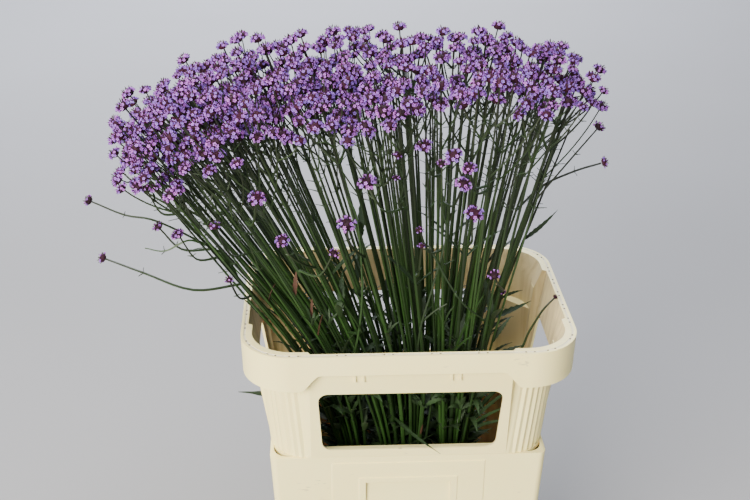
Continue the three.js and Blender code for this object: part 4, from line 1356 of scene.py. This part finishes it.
def grow_small_spray(stem, name):
    rng = random.Random(name)
    growth = Growth()
    points, direction = grow_axis(growth, stem, SMALL_SPRAY_WIDTHS, rng)
    foot = points[-1] - direction * 2
    if stem["headed"]:
        grow_head(growth, foot, direction, HEAD_RADIUS * rng.uniform(*SMALL_HEAD_SIZES[0]), rng)
    turn = rng.uniform(0, 3)
    for fork, (at, nearest, furthest) in enumerate(FORKS):
        x, _ = frame_along(direction, turn + fork * math.pi / 2)
        for side in (1, -1):
            for _ in range(FORK_TRIES):
                reach = x * (side * rng.uniform(nearest, furthest))
                end = foot + reach - direction * rng.uniform(*FORK_DROP)
                middle = end + (direction + reach * 0.008).normalized() * HEAD_CENTRE
                if is_free(middle):
                    break
            else:
                continue
            taken.append(middle)
            bend = points[at].lerp(end, 0.5) + reach * 0.14
            grow_stalk(growth, points[at], bend, end, STALK_WIDTH * rng.uniform(0.7, 0.9),
                       HEAD_RADIUS * rng.uniform(*SMALL_HEAD_SIZES[1]), rng, 8)
        grow_bracts(growth, points[at], direction, turn + fork * math.pi / 2, FORK_BRACTS, rng)
    return growth.piece(name)


for number, stem in enumerate(extras):
    grow_small_spray(stem, f"small_spray_{number + 1:03d}")

# ------------------------------------------------------------
# Side shoots. Thin shoots leave the stems below the canopy, bend outwards and end in a head of
# their own. Many of these heads are young: mostly dark calyces, with a few florets open.
# ------------------------------------------------------------

SHOOT_WIDTHS = (2.3, 1.6)
SHOOT_BRACTS = (5, 9)
YOUNG_BELOW = 9  # a head with a smaller radius is a young one
YOUNG_FLORETS = 7
BUD_BELOW = 4.8  # and one with a still smaller radius is in bud
# The stem's column and row, the height above the rim where the shoot leaves it, the head's
# radius, and the points that the shoot passes through, with heights above the rim.
SIDE_SHOOTS = (
    (0, 2, 66, 8, ((-290, -32, 119), (-330, -28, 127), (-368, -22, 142))),
    (0, 1, 44, 7.5, ((-250, -84, 56), (-306, -78, 76), (-350, -66, 89))),
    (6, 2, 118, 8.5, ((162, -18, 146), (200, -2, 186), (227, 12, 212))),
    (6, 3, 108, 7.5, ((168, 26, 134), (206, 24, 154), (238, 20, 166))),
    (3, 0, 100, 11.5, ((-64, -130, 124), (-72, -148, 145), (-74, -156, 164))),
    (2, 0, 86, 9, ((-122, -124, 106), (-136, -142, 126), (-142, -150, 144))),
    (5, 0, 108, 11.5, ((64, -128, 132), (62, -144, 153), (62, -152, 172))),
    (6, 0, 44, 8, ((106, -106, 60), (97, -123, 76), (92, -130, 89))),
    (6, 1, -64, 4.5, ((132, -70, -44), (150, -52, -24), (168, -36, -4), (183, -26, 7))),
)
# More heads that stand alone, and their radius. The nearest stem carries each.
LONE_HEADS = (
    ((-50, -146, 207), 11.5), ((-170, -138, 187), 11), ((-89, -140, 124), 7),
    ((-206, -100, 74), 6), ((-217, -110, 145), 7.5), ((42, -136, 232), 11),
    ((58, -138, 219), 9), ((49, -146, 204), 10), ((10, -130, 241), 10.5),
    ((28, -136, 225), 6.5), ((-19, -120, 229), 6), ((-20, -124, 205), 5),
    ((7, -128, 145), 5.5), ((9, -124, 124), 5), ((-286, -60, 123), 8),
    ((-263, -70, 117), 9), ((-297, -60, 171), 7), ((112, -60, 32), 5.5),
)
# Shoots without heads, in front of the others. One that reaches high joins a stem again.
BARE_SHOOTS = (
    ((-65, -100, -21), (-57, -104, 32), (-56, -106, 80), (-61, -108, 150)),
    ((-57, -102, 7), (-72, -106, 38), (-80, -108, 51), (-88, -108, 50)),
    ((10, -100, -23), (13, -104, 17), (25, -107, 68), (38, -110, 133)),
    ((13, -102, 17), (27, -108, 35), (41, -112, 47)),
    ((52, -104, -19), (64, -108, 17), (82, -112, 56)),
    ((52, -104, -19), (61, -110, -5), (71, -115, 6)),
    ((20, -108, 117), (37, -111, 83), (59, -113, 48), (86, -108, 22)),
    ((-255, -60, 108), (-282, -60, 95), (-305, -60, 99)),
)
BARE_WIDTHS = (2.6, 1.2)
BARE_SHARES = (0.3, 0.6)  # of the way up the plant, as far as their colour goes
JOIN_ABOVE = 120
JOIN_RISE = (12, 30)  # where a bare shoot leaves a stem below, and joins one above
SHOOT_RUN = (26, 46)  # how far below a lone head its shoot leaves the stem
SHOOT_REACH = (14, 30)  # and how far aside


def through(points, steps):
    """Points of a smooth curve through the given ones."""
    ends = [points[0] * 2 - points[1], *points, points[-1] * 2 - points[-2]]
    made = []
    for before, start, end, after in zip(ends, ends[1:], ends[2:], ends[3:]):
        for k in range(steps):
            t = k / steps
            made.append((start * 2 + (end - before) * t
                         + (before * 2 - start * 5 + end * 4 - after) * t ** 2
                         + (start * 3 - before - end * 3 + after) * t ** 3) * 0.5)
    return [*made, points[-1]]


def grow_shoot(growth, points, widths, rng, shares=(0.7, 1)):
    """A thin shoot through the points; its section keeps square to the plane it bends in."""
    line = through(points, 5)
    bend = (line[len(line) // 2] - line[0]).cross(line[-1] - line[0])
    across = bend.normalized() if bend.length > 1 else frame_along(line[-1] - line[0])[0]
    last = len(line) - 1
    grow_tube(growth, line, even_steps(*widths, last), across, STEM, even_steps(*shares, last),
              rng.random())
    knot = line[last * 2 // 3]
    direction = (line[-1] - line[-2]).normalized()
    grow_bracts(growth, knot, direction, rng.uniform(0, 3), rng.uniform(*SHOOT_BRACTS), rng)
    return direction


young_shapes = [head_shape(seed, YOUNG_FLORETS) for seed in (21, 22, 23)]
bud_shapes = [head_shape(24, 0)]


def grow_headed_shoot(growth, points, radius, rng):
    direction = grow_shoot(growth, points, SHOOT_WIDTHS, rng)
    shapes = (bud_shapes if radius < BUD_BELOW else
              young_shapes if radius < YOUNG_BELOW else head_shapes)
    grow_head(growth, points[-1], direction, radius, rng, shapes)


def above_rim(point):
    return Vector(point) + UP * RIM


for number, (column, row, start, radius, route) in enumerate(SIDE_SHOOTS):
    name = f"side_shoot_{number + 1}"
    stem = stems[column * ROWS + row]
    points = [stem_point(stem["place"], stem["centre"], RIM + start)]
    points += [above_rim(point) for point in route]
    growth = Growth()
    grow_headed_shoot(growth, points, radius, random.Random(name))
    growth.piece(name, f"shoot_{number + 1}")


def nearest_stem_point(point):
    """The nearest point of any stem at the point's own height."""
    return min((stem_point(stem["place"], stem["centre"], point.z) for stem in stems + extras),
               key=lambda other: (other - point).length)


for number, (place, radius) in enumerate(LONE_HEADS):
    name = f"lone_shoot_{number + 1:02d}"
    rng = random.Random(name)
    head = above_rim(place)
    aside = level(rng.choice((0, math.pi)) + rng.uniform(-0.4, 0.4))
    start = nearest_stem_point(head + aside * rng.uniform(*SHOOT_REACH)
                               - UP * rng.uniform(*SHOOT_RUN))
    middle = start.lerp(head, 0.6)
    middle.z = mix(start.z, head.z, 0.12)
    growth = Growth()
    grow_headed_shoot(growth, [start, middle, head], radius, rng)
    growth.piece(name)
growth = Growth()
rng = random.Random("bare shoots")
for route in BARE_SHOOTS:
    points = [above_rim(point) for point in route]
    points.insert(0, nearest_stem_point(points[0] - UP * JOIN_RISE[0]))
    if points[-1].z > RIM + JOIN_ABOVE:
        points.append(nearest_stem_point(points[-1] + UP * JOIN_RISE[1]))
    grow_shoot(growth, points, BARE_WIDTHS, rng, BARE_SHARES)
growth.piece("bare_shoots", None, "stem")

# ------------------------------------------------------------
# Loose leaves. Long ones stand clear of the stems: over the rim, out of the left window, over
# the front window's edge, and inside towards its right end. Tufts of small ones sprout near the
# rim and behind the window, and a few leaves have dried brown.
# ------------------------------------------------------------

# The leaf's tip, the height above the rim of its foot, its half width, and its arch upwards.
LONG_LEAVES = (
    ((185, 0, 114), 78, 3.2, -3), ((154, -30, 6), -30, 5.5, -2), ((143, -60, -39), -64, 4, 3),
    ((128, -46, -6), -34, 3, 2), ((141, -40, 26), 4, 3, 2), ((-209, -30, -116), -150, 6, 8),
    ((-30, -118, 14), -24, 3, 4), ((-64, -112, 12), -30, 2.6, 3), ((118, 30, 60), 22, 3.4, 4),
    ((-196, -64, 34), 0, 3, 3), ((-226, -40, 92), 52, 3.4, 3), ((129, -66, -80), -146, 3, 3),
    ((134, -58, -100), -158, 3, 4), ((128, -72, -118), -162, 2.8, 3),
    ((134, -50, -62), -132, 3, 3), ((128, -78, -134), -168, 2.6, 3),
    ((138, -40, -88), -150, 3.2, 4),
)
# Over the window's edge: where it leaves the nearest stem, the edge, and the tip.
HANGING_LEAF = ((-20, -60, -140), (8, -108, -136), (37, -131, -146))
HANGING_WIDTH = 2.8
TUFTS = ((-81, -100, 10), (-127, -96, 8), (-27, -104, -10), (40, -100, 6), (-60, -92, 36))
WINDOW_TUFTS = ((-82, -84, -92), (-66, -84, -124), (-38, -88, -100), (-8, -88, -84),
                (8, -90, -118), (36, -90, -96), (60, -86, -122), (74, -82, -78), (92, -70, -104),
                (96, -60, -74), (104, -60, -92), (108, -40, -120), (102, -72, -112),
                (110, -50, -76))
# Where tufts sprout, and their leaves' reach aside, rise and half width.
TUFT_KINDS = ((TUFTS, (8, 15), (14, 26), 1.7), (WINDOW_TUFTS, (16, 34), (-4, 38), 3.2))
DRIED_LEAVES = (  # the leaf's foot, and the height above the rim of its tip
    ((-165, -84, 33), 58), ((-136, -80, 48), 78), ((-124, -80, 12), 40),
    ((-114, -86, -6), 28), ((11, -78, -167), -140),
    ((108, -72, -162), -138), ((62, -80, -60), -30),
)
DRIED_WIDTH = 2.4
DRIED_REACH = (6, 12)
DRIED = 4
LEAF_TILT = 0.7  # turns the upper sides of the blades to the front


def dried_leaf():
    """A leaf that has dried on its stem: brittle and dull, from rust to a pinkish tan."""
    return mottled_blade("dried_brown_leaf", ("#34180B", "#5A3A28"), "#3E2416", 260.0, 3.0,
                         spread=(0.52, 0.72, 0.7), relief=(0.5, 0.5 * MM), roughness=0.8)


plant_finishes.append(dried_leaf())


def arched(start, end, arch):
    """The path of a leaf from its foot to its tip, arched upwards in the middle."""
    def path(t):
        return start.lerp(end, t) + UP * (4 * arch * t * (1 - t))
    return path


def grow_blade(growth, start, end, arch, half_width, finish, rng, teeth=6):
    flat = (end - start).cross(UP).normalized()
    flat.z = LEAF_TILT * flat.y
    grow_leaf(growth, arched(start, end, arch), flat, half_width, teeth, finish, 0.5, rng.random())


rng = random.Random("loose leaves")
growth = Growth()
for tip, foot_height, half_width, arch in LONG_LEAVES:
    tip = above_rim(tip)
    foot = nearest_stem_point(Vector((tip.x, tip.y, RIM + foot_height)))
    grow_blade(growth, foot, tip, arch, half_width, LEAF, rng)
foot, edge, tip = [above_rim(point) for point in HANGING_LEAF]
foot = nearest_stem_point(foot)
hanging = through([foot, edge, tip], 12)
grow_leaf(growth, lambda t: hanging[int(t * (len(hanging) - 1))],
          (tip - foot).cross(UP).normalized(), HANGING_WIDTH, 6, LEAF, 0.5, 0.5)
for places, reach, rise, half_width in TUFT_KINDS:
    for place in places:
        heart = nearest_stem_point(above_rim(place))
        for leaf in range(5):
            way = level(leaf * 2 * math.pi / 5 + rng.uniform(-0.3, 0.3)) * rng.uniform(*reach)
            way.z = rng.uniform(*rise)
            grow_blade(growth, heart, heart + way, 3, half_width, LEAF, rng, 4)
growth.piece("loose_leaves", None, "stem")

rng = random.Random("dried leaves")
growth = Growth()
for foot, tip_height in DRIED_LEAVES:
    foot = nearest_stem_point(above_rim(foot))
    tip = foot + level(rng.uniform(0, 2 * math.pi)) * rng.uniform(*DRIED_REACH)
    tip.z = RIM + tip_height
    grow_blade(growth, foot, tip, 2, DRIED_WIDTH * rng.uniform(0.7, 1.2), DRIED, rng, 3)
growth.piece("dried_leaves", None, "stem")

# ------------------------------------------------------------
# Floor, lights and camera. A plain pale floor, soft light from the front left and from above,
# and one lamp that brightens the floor far behind.
# ------------------------------------------------------------

CAMERA_PLACE = (-0.0984, -1.3180, 1.1019)
CAMERA_PITCH = 0.4380  # downwards, in radians
CAMERA_YAW = 0.0469
CAMERA_ROLL = 0.0044
CAMERA_LENS = 57.26


def plain_floor():
    """Matt grey paper, even all over but for a faint cloudiness."""
    made, tree, shader = new_material("matt_grey_floor")
    cloud = add(tree, "TexNoise", {"Vector": add(tree, "TexCoord").outputs["Object"],
                                   "Scale": 1.5})
    tone = add(tree, "MixRGB", {"Fac": cloud, "Color1": "#878789", "Color2": "#8D8D90"})
    link(tree, shader, {"Base Color": tone, "Roughness": 0.9})
    return made


bpy.ops.mesh.primitive_plane_add(size=40)
floor = bpy.context.object
floor.name = "floor"
floor.data.materials.append(plain_floor())
floor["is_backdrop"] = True


def area_light(name, place, aim, size, watts, colour):
    lamp = bpy.data.lights.new(name, "AREA")
    lamp.shape = "RECTANGLE"
    lamp.size, lamp.size_y = size
    lamp.energy = watts
    lamp.color = linear(colour)[:3]
    holder = bpy.data.objects.new(name, lamp)
    bpy.context.collection.objects.link(holder)
    holder.location = place
    holder.rotation_euler = (Vector(aim) - Vector(place)).to_track_quat("-Z", "Y").to_euler()


area_light("front_light", (-1.7, -2.5, 1.5), (0, 0, 0.5), (2.0, 1.6), 298, "#FFF6E4")
area_light("top_light", (-0.4, -0.2, 2.9), (0, 0, 0.4), (2.0, 2.0), 105, "#FFFFFF")
area_light("back_light", (-0.2, 3.9, 2.4), (0.1, 3.5, 0), (4.0, 2.0), 380, "#EEF3FF")
world = bpy.data.worlds.new("studio")
world.use_nodes = True
link(world.node_tree, world.node_tree.nodes["Background"], {"Color": "#E6E9EE", "Strength": 0.5})
bpy.context.scene.world = world

turn = (Matrix.Rotation(-CAMERA_YAW, 3, "Z")
        @ Matrix.Rotation(math.pi / 2 - CAMERA_PITCH, 3, "X")
        @ Matrix.Rotation(CAMERA_ROLL, 3, "Z"))
camera = bpy.data.objects.new("camera", bpy.data.cameras.new("camera"))
bpy.context.collection.objects.link(camera)
camera.matrix_world = Matrix.Translation(CAMERA_PLACE) @ turn.to_4x4()
camera.data.lens = CAMERA_LENS
bpy.context.scene.camera = camera

boxes = {"cad": cad_box, "visual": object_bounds()}
{name: [list(corner) for corner in box] for name, box in boxes.items()}
